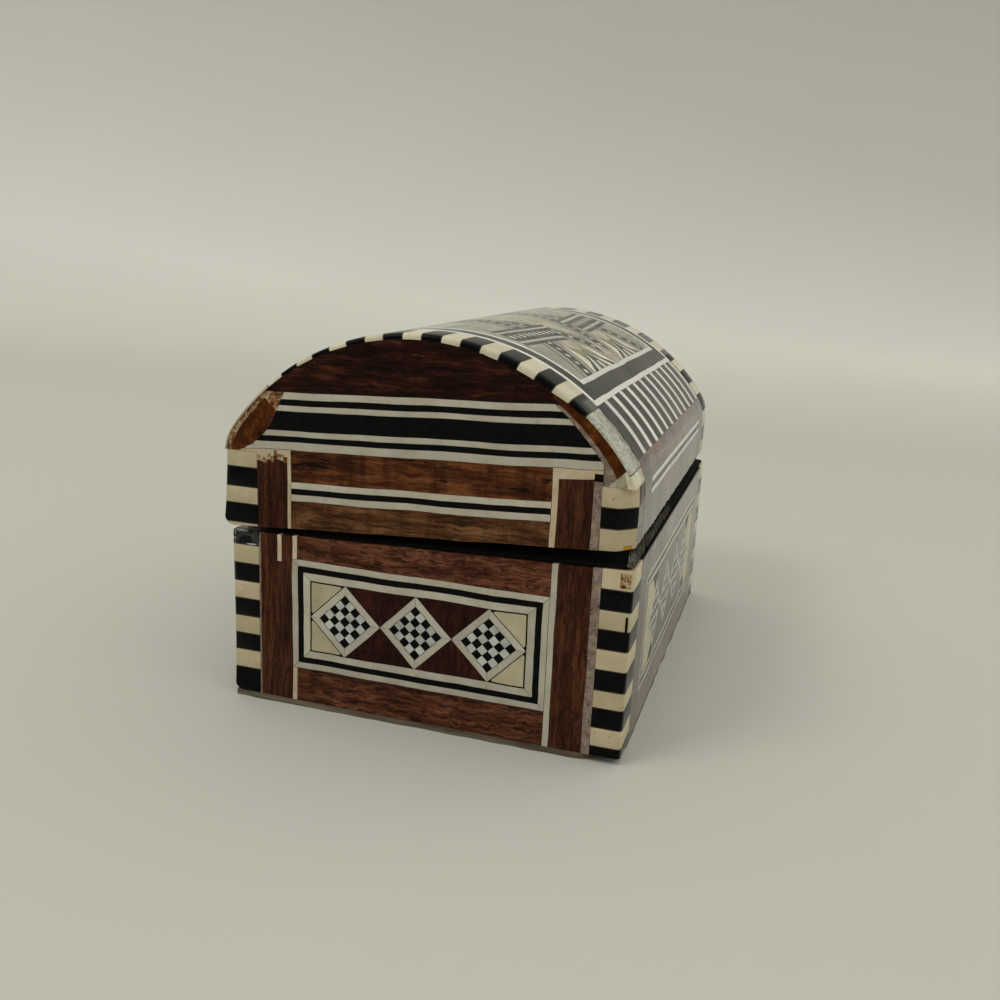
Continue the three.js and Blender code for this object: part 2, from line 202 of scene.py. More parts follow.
# grain runs along one axis: slow figure, fibres and open pores at three scales
def wood(name, axis, colors, ripple=0.0012, pores=0.5, bands=0.0, cracks=0.0, fiber=1500):
    material, tree, surface = surfaceOf(name)
    place, tone = tileCoordinates(tree)
    stir = put(tree, "TexNoise", {"Vector": place, "Scale": 280, "Detail": 4}).outputs["Color"]
    push = put(tree, "VectorMath", {0: stir, "Scale": ripple}, operation="SCALE").outputs["Vector"]
    place = put(tree, "VectorMath", {0: place, 1: push}, operation="ADD").outputs["Vector"]
    along = [1.0, 1.0, 1.0]
    along[axis] = 0.14
    figured = put(tree, "Mapping", {"Vector": place, "Scale": along}).outputs["Vector"]
    along[axis] = 0.075
    drawn = put(tree, "Mapping", {"Vector": place, "Scale": along}).outputs["Vector"]
    figure = cloud(tree, figured, 560, 5, 0.66)
    hair = cloud(tree, drawn, fiber, 4, 0.72)
    both = calc(tree, calc(tree, figure, 0.5), calc(tree, hair, 0.5), "ADD")
    lift = grey(tree, tone, 0, 1, -0.05, 0.05)
    color = ramp(tree, calc(tree, both, lift, "ADD"), [(0.38, colors[0]), (0.5, colors[1]), (0.64, colors[2])])
    pore = cloud(tree, drawn, fiber * 1.9, 2, 0.5)
    open_ = grey(tree, pore, 0.53, 0.6, 0, pores)
    color = mix(tree, open_, color, tint(colors[3]))
    if bands:
        across = [0.12, 0.12, 0.12]
        across[axis] = 1.0
        turned = put(tree, "Mapping", {"Vector": place, "Scale": across}).outputs["Vector"]
        stripe = cloud(tree, turned, 210, 4, 0.7)
        color = mix(tree, grey(tree, stripe, 0.47, 0.62, 0, bands), color, tint(colors[4]), "MIX")
    if cracks:
        split = cloud(tree, drawn, 1000, 3, 0.5)
        gap = grey(tree, split, 0.62, 0.66, 0, cracks)
        color = mix(tree, gap, color, tint((22, 10, 6)))
    lacquer(tree, surface, color, 0.34, calc(tree, hair, open_, "SUBTRACT"), 0.00004, 0.85)
    return material


def pearl(name, pale, mid, dark):
    material, tree, surface = surfaceOf(name)
    place, tone = tileCoordinates(tree)
    drift = cloud(tree, place, 240, 4, 0.55, 0.8)
    color = vary(tree, ramp(tree, drift, [(0.3, dark), (0.5, mid), (0.7, pale)]), tone, 0.84, 1.06)
    lacquer(tree, surface, color, 0.24, drift, 0.00004)
    return material


def glue(name, stops):
    material, tree, surface = surfaceOf(name)
    place, _ = tileCoordinates(tree)
    lump = cloud(tree, place, 520, 6, 0.68, 0.5)
    color = ramp(tree, lump, stops)
    crust = cloud(tree, place, 1900, 3, 0.7)
    color = mix(tree, grey(tree, crust, 0.58, 0.72, 0, 0.6), color, tint((34, 20, 12)))
    lacquer(tree, surface, color, 0.35, calc(tree, lump, crust, "ADD"), 0.0003)
    return material


# worn bone and filler, and the painted shade on the base front's top strip and the filler lump: patches of
# several tones with pits
def dirty(name, stops):
    material, tree, surface = surfaceOf(name)
    place, _ = tileCoordinates(tree)
    patch = cloud(tree, place, 780, 6, 0.74, 0.4)
    color = ramp(tree, patch, stops)
    pit = cloud(tree, place, 2400, 2, 0.6)
    color = mix(tree, grey(tree, pit, 0.6, 0.68, 0, 0.65), color, tint((46, 32, 24)))
    lacquer(tree, surface, color, 0.4, calc(tree, patch, pit, "SUBTRACT"), 0.0001, 0.45)
    return material


def plain(name, low, high, scale, rough, relief=0.0001, stretch=(1, 1, 1)):
    material, tree, surface = surfaceOf(name)
    place = put(tree, "TexCoord").outputs["Object"]
    place = put(tree, "Mapping", {"Vector": place, "Scale": stretch}).outputs["Vector"]
    grain = cloud(tree, place, scale, 5, 0.65)
    tree.links.new(ramp(tree, grain, [(0.3, low), (0.7, high)]), surface.inputs["Base Color"])
    tree.links.new(grey(tree, grain, 0.3, 0.7, rough, rough * 0.8), surface.inputs["Roughness"])
    bump = put(tree, "Bump", {"Strength": 0.6, "Distance": relief, "Height": grain})
    tree.links.new(bump.outputs["Normal"], surface.inputs["Normal"])
    return material


def paper(name):
    material, tree, surface = surfaceOf(name)
    place = put(tree, "TexCoord").outputs["Object"]
    far = grey(tree, put(tree, "SeparateXYZ", {"Vector": place}).outputs["X"], -0.2, 1.2)
    # the paper is painted brighter across the curve of the sweep and a little less up the wall: painted light
    near, sweep, wall = (206, 206, 195), (240, 240, 230), (220, 218, 208)
    tone = ramp(tree, far, [(0.0, near), (0.34, (207, 207, 196)), (0.6, sweep), (0.88, wall)])
    color = mix(tree, grey(tree, cloud(tree, place, 6, 4), 0.3, 0.7, 0, 0.06), tone, tint((186, 184, 172)))
    tree.links.new(color, surface.inputs["Base Color"])
    surface.inputs["Roughness"].default_value = 0.8
    return material


def velvet(name):
    material, tree, surface = surfaceOf(name)
    place = put(tree, "TexCoord").outputs["Object"]
    pile = cloud(tree, place, 5200, 2, 0.6)
    crush = cloud(tree, place, 130, 3, 0.6)
    # black velvet, set darker than the cloth itself: painted shade, so that the seam under the lid reads black
    color = ramp(tree, calc(tree, pile, crush, "MULTIPLY"), [(0.12, (2, 2, 2)), (0.42, (11, 10, 11))])
    tree.links.new(color, surface.inputs["Base Color"])
    surface.inputs["Roughness"].default_value = 0.95
    surface.inputs["Sheen Weight"].default_value = 0.05
    surface.inputs["Sheen Roughness"].default_value = 0.4
    surface.inputs["Specular IOR Level"].default_value = 0.1
    bump = put(tree, "Bump", {"Strength": 0.8, "Distance": 0.0002, "Height": calc(tree, pile, crush, "ADD")})
    tree.links.new(bump.outputs["Normal"], surface.inputs["Normal"])
    return material


def brass(name):
    material, tree, surface = surfaceOf(name)
    place = put(tree, "TexCoord").outputs["Object"]
    worn = cloud(tree, place, 700, 5, 0.65)
    tree.links.new(ramp(tree, worn, [(0.35, (70, 52, 26)), (0.65, (150, 118, 62))]),
                   surface.inputs["Base Color"])
    tree.links.new(grey(tree, worn, 0.3, 0.7, 0.5, 0.28), surface.inputs["Roughness"])
    surface.inputs["Metallic"].default_value = 1.0
    bump = put(tree, "Bump", {"Strength": 0.4, "Distance": 0.00008, "Height": worn})
    tree.links.new(bump.outputs["Normal"], surface.inputs["Normal"])
    return material


rosewood = [(48, 25, 17), (90, 51, 35), (138, 88, 64), (34, 17, 12)]
mats = {
    "bone": bone("bone", (221, 206, 175), (197, 179, 143)),
    "boneLine": bone("boneLine", (218, 212, 197), (192, 183, 165), 0.4),
    "reedLine": bone("reedLine", (250, 249, 242), (238, 235, 226), 0.2),
    "boneWarm": bone("boneWarm", (218, 207, 178), (194, 180, 148), 0.6),
    "boneEdge": bone("boneEdge", (240, 232, 208), (220, 208, 180)),
    "stained": bone("stained", (226, 212, 186), (196, 172, 138), 0.7),
    "boneGrey": dirty("boneGrey", [(0.3, (98, 80, 68)), (0.45, (138, 120, 106)),
                                   (0.62, (166, 150, 136)), (0.78, (192, 180, 164))]),
    # a greyed, darker cream: painted shade on the filler lump's shaded side
    "putty": dirty("putty", [(0.28, (70, 58, 38)), (0.42, (150, 144, 116)),
                             (0.6, (196, 190, 164)), (0.78, (222, 214, 190))]),
    "fray": dirty("fray", [(0.36, (70, 36, 14)), (0.46, (136, 86, 40)),
                           (0.56, (198, 176, 140)), (0.72, (222, 208, 180))]),
    # soot: real dark gaps and chips, and painted shade on the base front's top strip
    "soot": dirty("soot", [(0.35, (8, 6, 5)), (0.6, (26, 16, 11)), (0.8, (58, 38, 24))]),
    "ebony": ebony("ebony", (7, 7, 8), (18, 18, 20)),
    "ebonyWorn": ebony("ebonyWorn", (12, 12, 13), (36, 36, 37)),
    "ebonyWet": ebony("ebonyWet", (6, 6, 7), (16, 16, 18), 1.0),
    "woodX": wood("woodX", 0, rosewood),
    "woodY": wood("woodY", 1, rosewood, 0.0022, 0.75),
    "woodZ": wood("woodZ", 2, [(40, 20, 12), (66, 35, 22), (98, 58, 38), (28, 15, 10)],
                  0.0016, 0.6, fiber=1300),
    "warmY": wood("warmY", 1, [(44, 22, 13), (88, 47, 25), (138, 84, 48), (34, 17, 11), (46, 21, 12)],
                  0.0012, 0.5, 0.75, 0.9, 1300),
    "dimY": wood("dimY", 1, [(56, 33, 20), (102, 65, 40), (146, 104, 68), (36, 21, 13), (60, 35, 20)],
                 0.0012, 0.6, 0.6, 0.4, 1300),
    "lunetteY": wood("lunetteY", 1, [(28, 12, 9), (54, 25, 17), (108, 62, 40), (18, 8, 6), (30, 14, 10)],
                     0.0016, 0.6, 0.3),
    "panelZ": wood("panelZ", 2, [(28, 13, 12), (48, 22, 18), (76, 38, 29), (20, 10, 9), (30, 14, 12)],
                   0.003, 0.35, 0.4),
    "pearl": pearl("pearl", (196, 191, 174), (168, 163, 146), (140, 136, 120)),
    "pearlCrown": pearl("pearlCrown", (206, 200, 176), (182, 176, 150), (156, 151, 124)),
    "pearlTile": pearl("pearlTile", (226, 228, 220), (206, 208, 200), (180, 184, 178)),
    "olive": pearl("olive", (176, 172, 134), (146, 142, 104), (116, 112, 80)),
    "rosy": pearl("rosy", (214, 199, 182), (192, 178, 160), (164, 150, 134)),
    "rayPale": pearl("rayPale", (242, 236, 216), (228, 220, 198), (204, 194, 168)),
    "resin": dirty("resin", [(0.3, (120, 116, 92)), (0.42, (168, 166, 146)),
                             (0.56, (204, 203, 188)), (0.74, (228, 228, 216))]),
    "glue": glue("glue", [(0.3, (42, 18, 7)), (0.48, (84, 40, 11)), (0.62, (112, 62, 20)),
                          (0.8, (156, 108, 56))]),
    "spot": glue("spot", [(0.3, (170, 108, 30)), (0.6, (206, 158, 62))]),
    "joint": plain("joint", (26, 16, 10), (58, 40, 27), 900, 0.6),
    # plywood darker than its own colour: painted shade, as the board's edge lies in shadow under the box
    "plywood": plain("plywood", (66, 54, 38), (140, 128, 104), 1500, 0.75, 0.0002, (0.05, 0.05, 1)),
    "carcass": plain("carcass", (30, 20, 14), (62, 42, 28), 330, 0.8, 0.0002, (0.2, 0.2, 1)),
    "velvet": velvet("velvet"),
    "fuzz": plain("fuzz", (26, 25, 24), (178, 176, 158), 1200, 0.9),
    "brass": brass("brass"),
}


# the top of the base and the foot of the lid both fall a little to the back
rimFall, lidFall = 0.031818, 0.061940


def rimAt(y):
    return 29.95 - rimFall * y


def lidEdgeAt(y):
    return 31.887 - lidFall * y


def lipAt(y):
    return lidEdgeAt(y) + 1


sheetDepth = 1.15  # how thick the inlaid sheets are
vault = {"y": 1, "z": 23.9, "r": 39, "arc": 37.67, "turn": math.radians(55.34)}
shoulder = {"y": 25.5, "z": 41.53, "r": 8, "arc": 4.84}
wallStart = vault["arc"] + shoulder["arc"]


# s runs over the lid from the middle of the vault, forwards, and w inwards
def vaultPoint(s, w):
    side = -1 if s > 0 else 1
    a = abs(s)
    if a <= vault["arc"]:
        turn = a / vault["r"]
        return (vault["y"] + side * (vault["r"] - w) * math.sin(turn),
                vault["z"] + (vault["r"] - w) * math.cos(turn))
    if a <= wallStart:
        turn = vault["turn"] + (a - vault["arc"]) / shoulder["r"]
        reach = shoulder["r"] - w
        return (vault["y"] + side * (shoulder["y"] + reach * math.sin(turn)),
                shoulder["z"] + reach * math.cos(turn))
    return vault["y"] + side * (lidHalfDepth - w), shoulder["z"] - (a - wallStart)


# how far along the arc a height on the walls of the lid is
def wallArc(z):
    return wallStart + shoulder["z"] - z


# height of the lid's outline over a place, w inside it
def outlineAt(y, w):
    out = abs(y - vault["y"])
    if out <= (vault["r"] - w) * math.sin(vault["turn"]):
        return vault["z"] + math.sqrt((vault["r"] - w) ** 2 - out ** 2)
    past = out - shoulder["y"]
    reach = shoulder["r"] - w
    return shoulder["z"] + math.sqrt(max(0, reach ** 2 - past ** 2)) if past <= reach else -1


# the edging of the arch is worn thinner towards the back and at its broken front
def edgingDepth(s):
    back = max(0.38, 0.85 + 0.0125 * s)
    front = 1 - 0.085 * max(0, s - 22) if s < 28 else 0.49
    return sheetDepth * min(1, back, front)


def outerInset(y):
    out = max(-0.999, min(0.999, (y - vault["y"]) / vault["r"]))
    return edgingDepth(-vault["r"] * math.asin(out)) + 0.04


# the way back from a place on the end to the arch: s and w
def archPlace(y, z):
    out = abs(y - vault["y"])
    side = -1 if y > vault["y"] else 1
    turn = math.atan2(out, z - vault["z"])
    if turn <= vault["turn"]:
        return side * turn * vault["r"], vault["r"] - math.hypot(out, z - vault["z"])
    if z <= shoulder["z"]:
        return side * wallArc(z), lidHalfDepth - out
    past, rise = out - shoulder["y"], z - shoulder["z"]
    bend = max(0, math.atan2(past, rise) - vault["turn"])
    return side * (vault["arc"] + bend * shoulder["r"]), shoulder["r"] - math.hypot(past, rise)


# how deep the broken places reach in from the arch
brokenEdge = [(-44, 1.2), (-41.6, 2.2), (-40.4, 3.4), (-37, 4.6), (-34, 5.1), (-31.5, 4.8), (-29, 4.0),
              (-27, 3.0), (-24, 2.2), (20, 2.0), (27, 2.5), (32, 2.9), (36, 2.8), (44, 2.4)]


def brokenDepth(s):
    for (s0, w0), (s1, w1) in zip(brokenEdge, brokenEdge[1:]):
        if s0 <= s <= s1:
            return w0 + (w1 - w0) * (s - s0) / (s1 - s0) + 0.16 * noise.noise((s * 0.9, 2.2, 0))
    return 2.4


# how deep the brown glue shows inside them
def glueDepth(s):
    return 1.75 + 0.03 * (s - 20) if s > 0 else 1.3


# a slow wander of the inlay lines, as hand-cut strips have
def wander(u, v, edges):
    u0, v0, u1, v1 = edges
    hold = min(1.0, max(0.0, min(u - u0, u1 - u, v - v0, v1 - v) / 2.5))

    def drift(layer):
        slow = noise.noise((u * 0.13, v * 0.13, layer))
        quick = noise.noise((u * 0.55, v * 0.55, layer + 5.4))
        return (slow * 0.17 + quick * 0.07) * hold

    return drift(3.7), drift(23.7)


def clearSelection():
    if bpy.context.object and bpy.context.object.mode != "OBJECT":
        bpy.ops.object.mode_set(mode="OBJECT")
    bpy.ops.object.select_all(action="DESELECT")


def editFaces(piece):
    bpy.context.view_layer.objects.active = piece
    piece.select_set(True)
    bpy.ops.object.mode_set(mode="EDIT")
    bpy.ops.mesh.select_mode(type="FACE")


def startSheet(name, edges):
    clearSelection()
    u0, v0, u1, v1 = edges
    bpy.ops.mesh.primitive_plane_add(size=1, location=((u0 + u1) / 2, (v0 + v1) / 2, 0))
    sheet = bpy.context.object
    sheet.name = name
    sheet.scale = (u1 - u0, v1 - v0, 1)
    bpy.ops.object.transform_apply(location=True, rotation=False, scale=True)
    for material in mats.values():
        sheet.data.materials.append(material)
    editFaces(sheet)
    return sheet


# one straight cut, only through the faces that the test picks
def score(sheet, through, across, test=None):
    bpy.ops.mesh.select_all(action="DESELECT")
    mesh = bmesh.from_edit_mesh(sheet.data)
    found = [face for face in mesh.faces if test is None or test(face)]
    if not found:
        return
    for face in found:
        face.select_set(True)
    bpy.ops.mesh.bisect(plane_co=(through[0], through[1], 0), plane_no=(across[0], across[1], 0),
                        threshold=0.0004)


def scoreUpright(sheet, u, test=None):
    score(sheet, (u, 0), (1, 0), test)


def scoreLevel(sheet, v, test=None):
    score(sheet, (0, v), (0, 1), test)


def within(u0, v0, u1, v1):
    def test(face):
        us = [vert.co.x for vert in face.verts]
        vs = [vert.co.y for vert in face.verts]
        return max(us) > u0 + 0.001 and min(us) < u1 - 0.001 and max(vs) > v0 + 0.001 and min(vs) < v1 - 0.001
    return test


def centered(inside):
    def test(face):
        middle = face.calc_center_median()
        return inside(middle.x, middle.y)
    return test


def label(sheet, describe, parts):
    names = list(mats)
    mesh = bmesh.from_edit_mesh(sheet.data)
    tile = mesh.faces.layers.int.new("tile")
    part = mesh.faces.layers.int.new("part")
    tone = mesh.faces.layers.float.new("tone")
    waste = []
    for face in mesh.faces:
        middle = face.calc_center_median()
        found = describe(middle.x, middle.y)
        if found is None:
            waste.append(face)
            continue
        piece, material, key = found
        code = zlib.crc32(repr((material, key)).encode())
        face.material_index = names.index(material)
        face[part] = parts.index(piece)
        face[tile] = code % 1000003
        face[tone] = (code // 7 % 1000) / 1000
    bmesh.ops.delete(mesh, geom=waste, context="FACES")
    bmesh.update_edit_mesh(sheet.data)


def familyOf(name):
    if name.startswith("ebony") or name in ("fray", "putty", "glue", "soot"):
        return "dark"
    return "wood" if name[-1] in "XYZ" else "pale"


# crossing cuts that only give long strips enough points to wander
def relax(sheet, edges, step):
    u0, v0, u1, v1 = edges
    for k in range(1, int((u1 - u0) / step)):
        scoreUpright(sheet, u0 + k * step)
    for k in range(1, int((v1 - v0) / step)):
        scoreLevel(sheet, v0 + k * step)


# every tile gets a fine sunk seam of glue round it
def seams(sheet, width, depth):
    bpy.ops.mesh.select_all(action="SELECT")
    bpy.ops.mesh.remove_doubles(threshold=0.03)
    bpy.ops.mesh.dissolve_degenerate(threshold=0.01)
    bpy.ops.mesh.select_all(action="SELECT")
    bpy.ops.mesh.inset(thickness=width, depth=0, use_even_offset=False, use_individual=True)
    mesh = bmesh.from_edit_mesh(sheet.data)
    tile = mesh.faces.layers.int["tile"]
    inner = {vert.index for face in mesh.faces if face.select for vert in face.verts}
    names = list(mats)
    kinds = [familyOf(name) for name in names]
    sunk, glued = set(), set()
    for edge in mesh.edges:
        if any(vert.index in inner for vert in edge.verts):
            continue
        if len({face[tile] for face in edge.link_faces}) > 1 or len(edge.link_faces) == 1:
            sunk.update(edge.verts)
            beside = [kinds[face.material_index] for face in edge.link_faces]
            for face in edge.link_faces:
                own = kinds[face.material_index]
                if len(beside) > 1 and (beside[0] == beside[1] != "dark" or own == "wood"):
                    glued.add(face)
    for face in glued:
        face.material_index = names.index("joint")
    for vert in sunk:
        vert.co.z -= depth
    bmesh.update_edit_mesh(sheet.data)


def splitParts(sheet, parts):
    done = {}
    for index, name in enumerate(parts):
        mesh = bmesh.from_edit_mesh(sheet.data)
        layer = mesh.faces.layers.int["part"]
        bpy.ops.mesh.select_all(action="DESELECT")
        chosen = [face for face in mesh.faces if face[layer] == index]
        if not chosen:
            print("no faces for", name)
            continue
        if len(chosen) == len(mesh.faces):
            done[name] = sheet
            break
        for face in chosen:
            face.select_set(True)
        before = set(bpy.data.objects)
        bpy.ops.mesh.separate(type="SELECTED")
        done[name] = (set(bpy.data.objects) - before).pop()
    bpy.ops.object.mode_set(mode="OBJECT")
    return done


def thicken(piece, thickness):
    clearSelection()
    editFaces(piece)
    bpy.ops.mesh.select_all(action="SELECT")
    bpy.ops.mesh.extrude_region_move(TRANSFORM_OT_translate={"value": (0, 0, -thickness)})
    bpy.ops.object.mode_set(mode="OBJECT")


# bend or stand the flat sheet into its place on the box
def carry(piece, place, edges):
    for vert in piece.data.vertices:
        u, v, w = vert.co
        du, dv = wander(u, v, edges) if edges else (0, 0)
        vert.co = [n * mm for n in place(u + du, v + dv, -w)]


def finishPiece(piece, name, body, nodes, angle=28):
    clearSelection()
    bpy.context.view_layer.objects.active = piece
    piece.select_set(True)
    bpy.ops.object.mode_set(mode="EDIT")
    bpy.ops.mesh.select_all(action="SELECT")
    bpy.ops.mesh.normals_make_consistent(inside=False)
    bpy.ops.object.mode_set(mode="OBJECT")
    bpy.ops.object.material_slot_remove_unused()
    bpy.ops.object.shade_smooth_by_angle(angle=math.radians(angle))
    piece.name = name
    piece.data.name = name
    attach(piece, body)
    if nodes:
        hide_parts(*nodes)
    print("made", name, len(piece.data.polygons), "faces")
    return piece


def ringCuts(sheet, ring):
    u0, v0, u1, v1 = ring["box"]
    for depth in (0, *ring["bands"], ring["width"]):
        near = within(u0 + depth, v0 + depth, u1 - depth, v1 - depth) if depth else None
        for u in (u0 + depth, u1 - depth):
            scoreUpright(sheet, u, near)
        for v in (v0 + depth, v1 - depth):
            scoreLevel(sheet, v, near)
    w = ring["width"]
    inside = centered(lambda u, v: 0 < ringDepth(ring, u, v)[0] < w)
    for cu, cv, slope in ((u0, v0, 1), (u1, v0, -1), (u0, v1, -1), (u1, v1, 1)):
        du, dv = (w if cu == u0 else -w), (w if cv == v0 else -w)
        corner = within(min(cu, cu + du), min(cv, cv + dv), max(cu, cu + du), max(cv, cv + dv))
        score(sheet, (cu, cv), (slope, -1), lambda face: corner(face) and inside(face))


def ringDepth(ring, u, v):
    u0, v0, u1, v1 = ring["box"]
    reach = {"front": u - u0, "back": u1 - u, "low": v - v0, "high": v1 - v}
    side = min(reach, key=reach.get)
    return reach[side], side


def ringTile(ring, u, v):
    depth, side = ringDepth(ring, u, v)
    if depth < 0:
        return None
    if depth > ring["width"]:
        return panelTile(ring["panel"], u, v)
    layer = sum(depth > edge for edge in ring["bands"])
    return "ring", ("boneLine", "ebony", "boneLine")[layer], (side, layer)


def diamondAxes(center, u, v):
    du, dv = u - center[0], v - center[1]
    return (du + dv) / math.sqrt(2), (dv - du) / math.sqrt(2)


def panelTile(panel, u, v):
    half = panel["side"] / 2
    inner = half - panel["border"]
    cell = inner * 2 / 5
    for k, center in enumerate(panel["diamonds"]):
        p, q = diamondAxes(center, u, v)
        most = max(abs(p), abs(q))
        if most > half:
            continue
        if most > inner:
            return "panel", "boneLine", (k, p > q, p > -q)
        i, j = int((p + inner) / cell), int((q + inner) / cell)
        return "panel", "pearlTile" if (i + j) % 2 else "ebony", (k, i, j)
    first, last = panel["diamonds"][0], panel["diamonds"][-1]
    if u < first[0] or u > last[0]:
        p, q = diamondAxes(first if u < first[0] else last, u, v)
        u0, v0, u1, v1 = panel["inner"]
        clear = min(max(abs(p), abs(q)) - half + 0.1, u - u0, u1 - u, v - v0, v1 - v)
        skew = abs(min(u - u0, u1 - u) - min(v - v0, v1 - v))
        if clear < 0.24 or skew > 5:
            return "panel", "soot", ("gap", u > 0, v > first[1])
        return "panel", "boneWarm", (u > 0, v > first[1])
    k = sum(u > center[0] for center in panel["diamonds"])
    return "panel", "panelZ", ("ground", k, v > first[1])


def panelCuts(sheet, panel):
    half = panel["side"] / 2
    inner = half - panel["border"]
    reach = half * math.sqrt(2)
    u0, v0, u1, v1 = panel["inner"]
    for center in panel["diamonds"]:
        cu, cv = center

        # both diagonals, at an offset from the diamond's middle
        def cross(offset, test):
            for lean in (1, -1):
                axis = (lean * math.sqrt(0.5), math.sqrt(0.5))
                score(sheet, (cu + axis[0] * offset, cv + axis[1] * offset), axis, test)

        def depth(u, v):
            return max(abs(n) for n in diamondAxes(center, u, v))

        for offset in (-half, half):
            cross(offset, within(cu - reach, cv - reach, cu + reach, cv + reach))
        for offset in (-inner, inner):
            cross(offset, centered(lambda u, v: depth(u, v) < half))
        border = centered(lambda u, v: inner < depth(u, v) < half)
        scoreUpright(sheet, cu, border)
        scoreLevel(sheet, cv, border)
        for k in range(1, 5):
            cross(-inner + k * inner * 2 / 5, centered(lambda u, v: depth(u, v) < inner))
        spine = within(cu - 0.5, cv - 9, cu + 0.5, cv + 9)
        if center in (panel["diamonds"][0], panel["diamonds"][-1]):
            side = 1 if center == panel["diamonds"][-1] else -1
            corner = centered(lambda u, v: depth(u, v) > half and abs(v - cv) < reach
                              and (u - cu) * side > 0 and abs(u - cu) < reach + 0.5)
            outside = centered(lambda u, v: depth(u, v) > half)
            scoreLevel(sheet, cv, corner)
            scoreUpright(sheet, cu, lambda face: spine(face) and outside(face))
            for offset in (-half - 0.14, half + 0.14):
                cross(offset, corner)
            for u in (u0 + 0.24, u1 - 0.24):
                scoreUpright(sheet, u, corner)
            for v in (v0 + 0.24, v1 - 0.24):
                scoreLevel(sheet, v, corner)
            for far in (-1, 1):
                mine = lambda face: corner(face) and (face.calc_center_median().y - cv) * far > 0
                tip = (u1 if side > 0 else u0, v1 if far > 0 else v0)
                score(sheet, (tip[0] - side * 5, tip[1]), (-side, far), mine)
                score(sheet, (tip[0], tip[1] - far * 5), (-side, far), mine)
        ground = centered(lambda u, v: depth(u, v) > half and abs(u - cu) < reach + 3)
        wide = within(cu - reach - 3, cv - 9, cu + reach + 3, cv + 9)
        scoreLevel(sheet, cv, lambda face: wide(face) and ground(face))
        scoreUpright(sheet, cu, lambda face: spine(face) and ground(face))


endRing = {
    "box": (-20.7, 6.9, 22.2, 25.4), "bands": (1.0, 2.0), "width": 3.2,
    "panel": {"diamonds": [(-11.35, 16.15), (0.75, 16.15), (12.85, 16.15)], "side": 8.556, "border": 1.1,
              "inner": (-17.5, 10.1, 19.0, 22.2)},
}
longRing = {
    "box": (-30.5, 6.3, 30.5, 26.2), "bands": (0.75, 1.55), "width": 2.3,
    "panel": {"diamonds": [(-18.456, 16.25), (-6.152, 16.25), (6.152, 16.25), (18.456, 16.25)],
              "side": 8.7, "border": 1.1, "inner": (-28.2, 8.6, 28.2, 23.9)},
}


def baseEndTile(u, v):
    if v > rimAt(u):
        return None
    found = ringTile(endRing, u, v)
    if found:
        return found
    if u > 27.9:
        return "surround", "boneGrey", "edge"
    if u > 22.2:
        if v > 24.8 and 24.2 < u < 24.95:
            return "surround", "stained", "sliver"
        return "surround", "woodZ", "backStile"
    if u > 21.4:
        return "surround", "stained", ("backLine", v > 16)
    if u < -26.9:
        return "surround", "boneGrey", "frontLine"
    if u < -21.65:
        return "surround", "woodZ", "frontStile"
    if u < -20.7:
        return "surround", "boneLine", "frontFillet"
    return "surround", "woodY", "rail" if v < 16 else "topRail"


frontRim = 30.72  # above it the front's top strip is painted near-black: painted shade under the lid's edge


def baseLongTile(u, v):
    if v > 31:
        return None
    # the top strip: painted shade under the lid's edge, drawn in the soot material
    if v > frontRim:
        return "surround", "soot", "top"
    found = ringTile(longRing, u, v)
    if found:
        return found
    if abs(u) > stileEnd:
        return "surround", "boneGrey", ("edge", u > 0)
    if abs(u) > stileStart:
        return "surround", "woodZ", ("stile", u > 0)
    return "surround", "woodX", ("rail", v > 16)


def inNotch(u):
    return hingeNotch["near"] < abs(u) < hingeNotch["far"]


def baseBackTile(u, v):
    return None if v > hingeNotch["baseTop"] and inNotch(u) else baseLongTile(u, v)


notchEdges = (-hingeNotch["far"], -hingeNotch["near"], hingeNotch["near"], hingeNotch["far"])
longUprights = (-stileEnd, -stileStart, stileStart, stileEnd)
endSide = {
    "edges": (-28.2, plyTop, 28.2, 31.2), "ring": endRing, "tile": baseEndTile,
    "uprights": (27.9, 24.95, 24.2, 22.2, 21.4, -20.7, -21.65, -26.9),
}
baseSides = {
    "left": {**endSide, "place": lambda u, v, w: (-halfLength + w, u, v)},
    "right": {**endSide, "place": lambda u, v, w: (halfLength - w, u, v)},
    "front": {"edges": (-postStart, plyTop, postStart, 31.0), "ring": longRing, "tile": baseLongTile,
              "uprights": longUprights, "place": lambda u, v, w: (u, -halfDepth + w, v)},
    "back": {"edges": (-postStart, plyTop, postStart, 28.86), "ring": longRing, "tile": baseBackTile,
             "uprights": (*longUprights, *notchEdges), "place": lambda u, v, w: (u, halfDepth - w, v)},
}


def addBaseSide(side, plan):
    sheet = startSheet("baseSheet", plan["edges"])
    for u in plan["uprights"]:
        scoreUpright(sheet, u)
    if side == "front":
        scoreLevel(sheet, frontRim)
    elif side == "back":
        scoreLevel(sheet, hingeNotch["baseTop"])
    else:
        score(sheet, (0, rimAt(0)), (rimFall, 1))
        scoreLevel(sheet, 24.8, within(24.2, 20, 24.95, 32))
    ringCuts(sheet, plan["ring"])
    panelCuts(sheet, plan["ring"]["panel"])
    parts = ["ring", "panel", "surround"]
    label(sheet, plan["tile"], parts)
    seams(sheet, 0.06, 0.035)
    relax(sheet, plan["edges"], 2.7)
    found = splitParts(sheet, parts)
    for part, piece in found.items():
        thicken(piece, sheetDepth)
        carry(piece, plan["place"], plan["edges"])
        finishPiece(piece, f"base{side.title()}{part.title()}", "base", [f"base_{side}_{part}"])


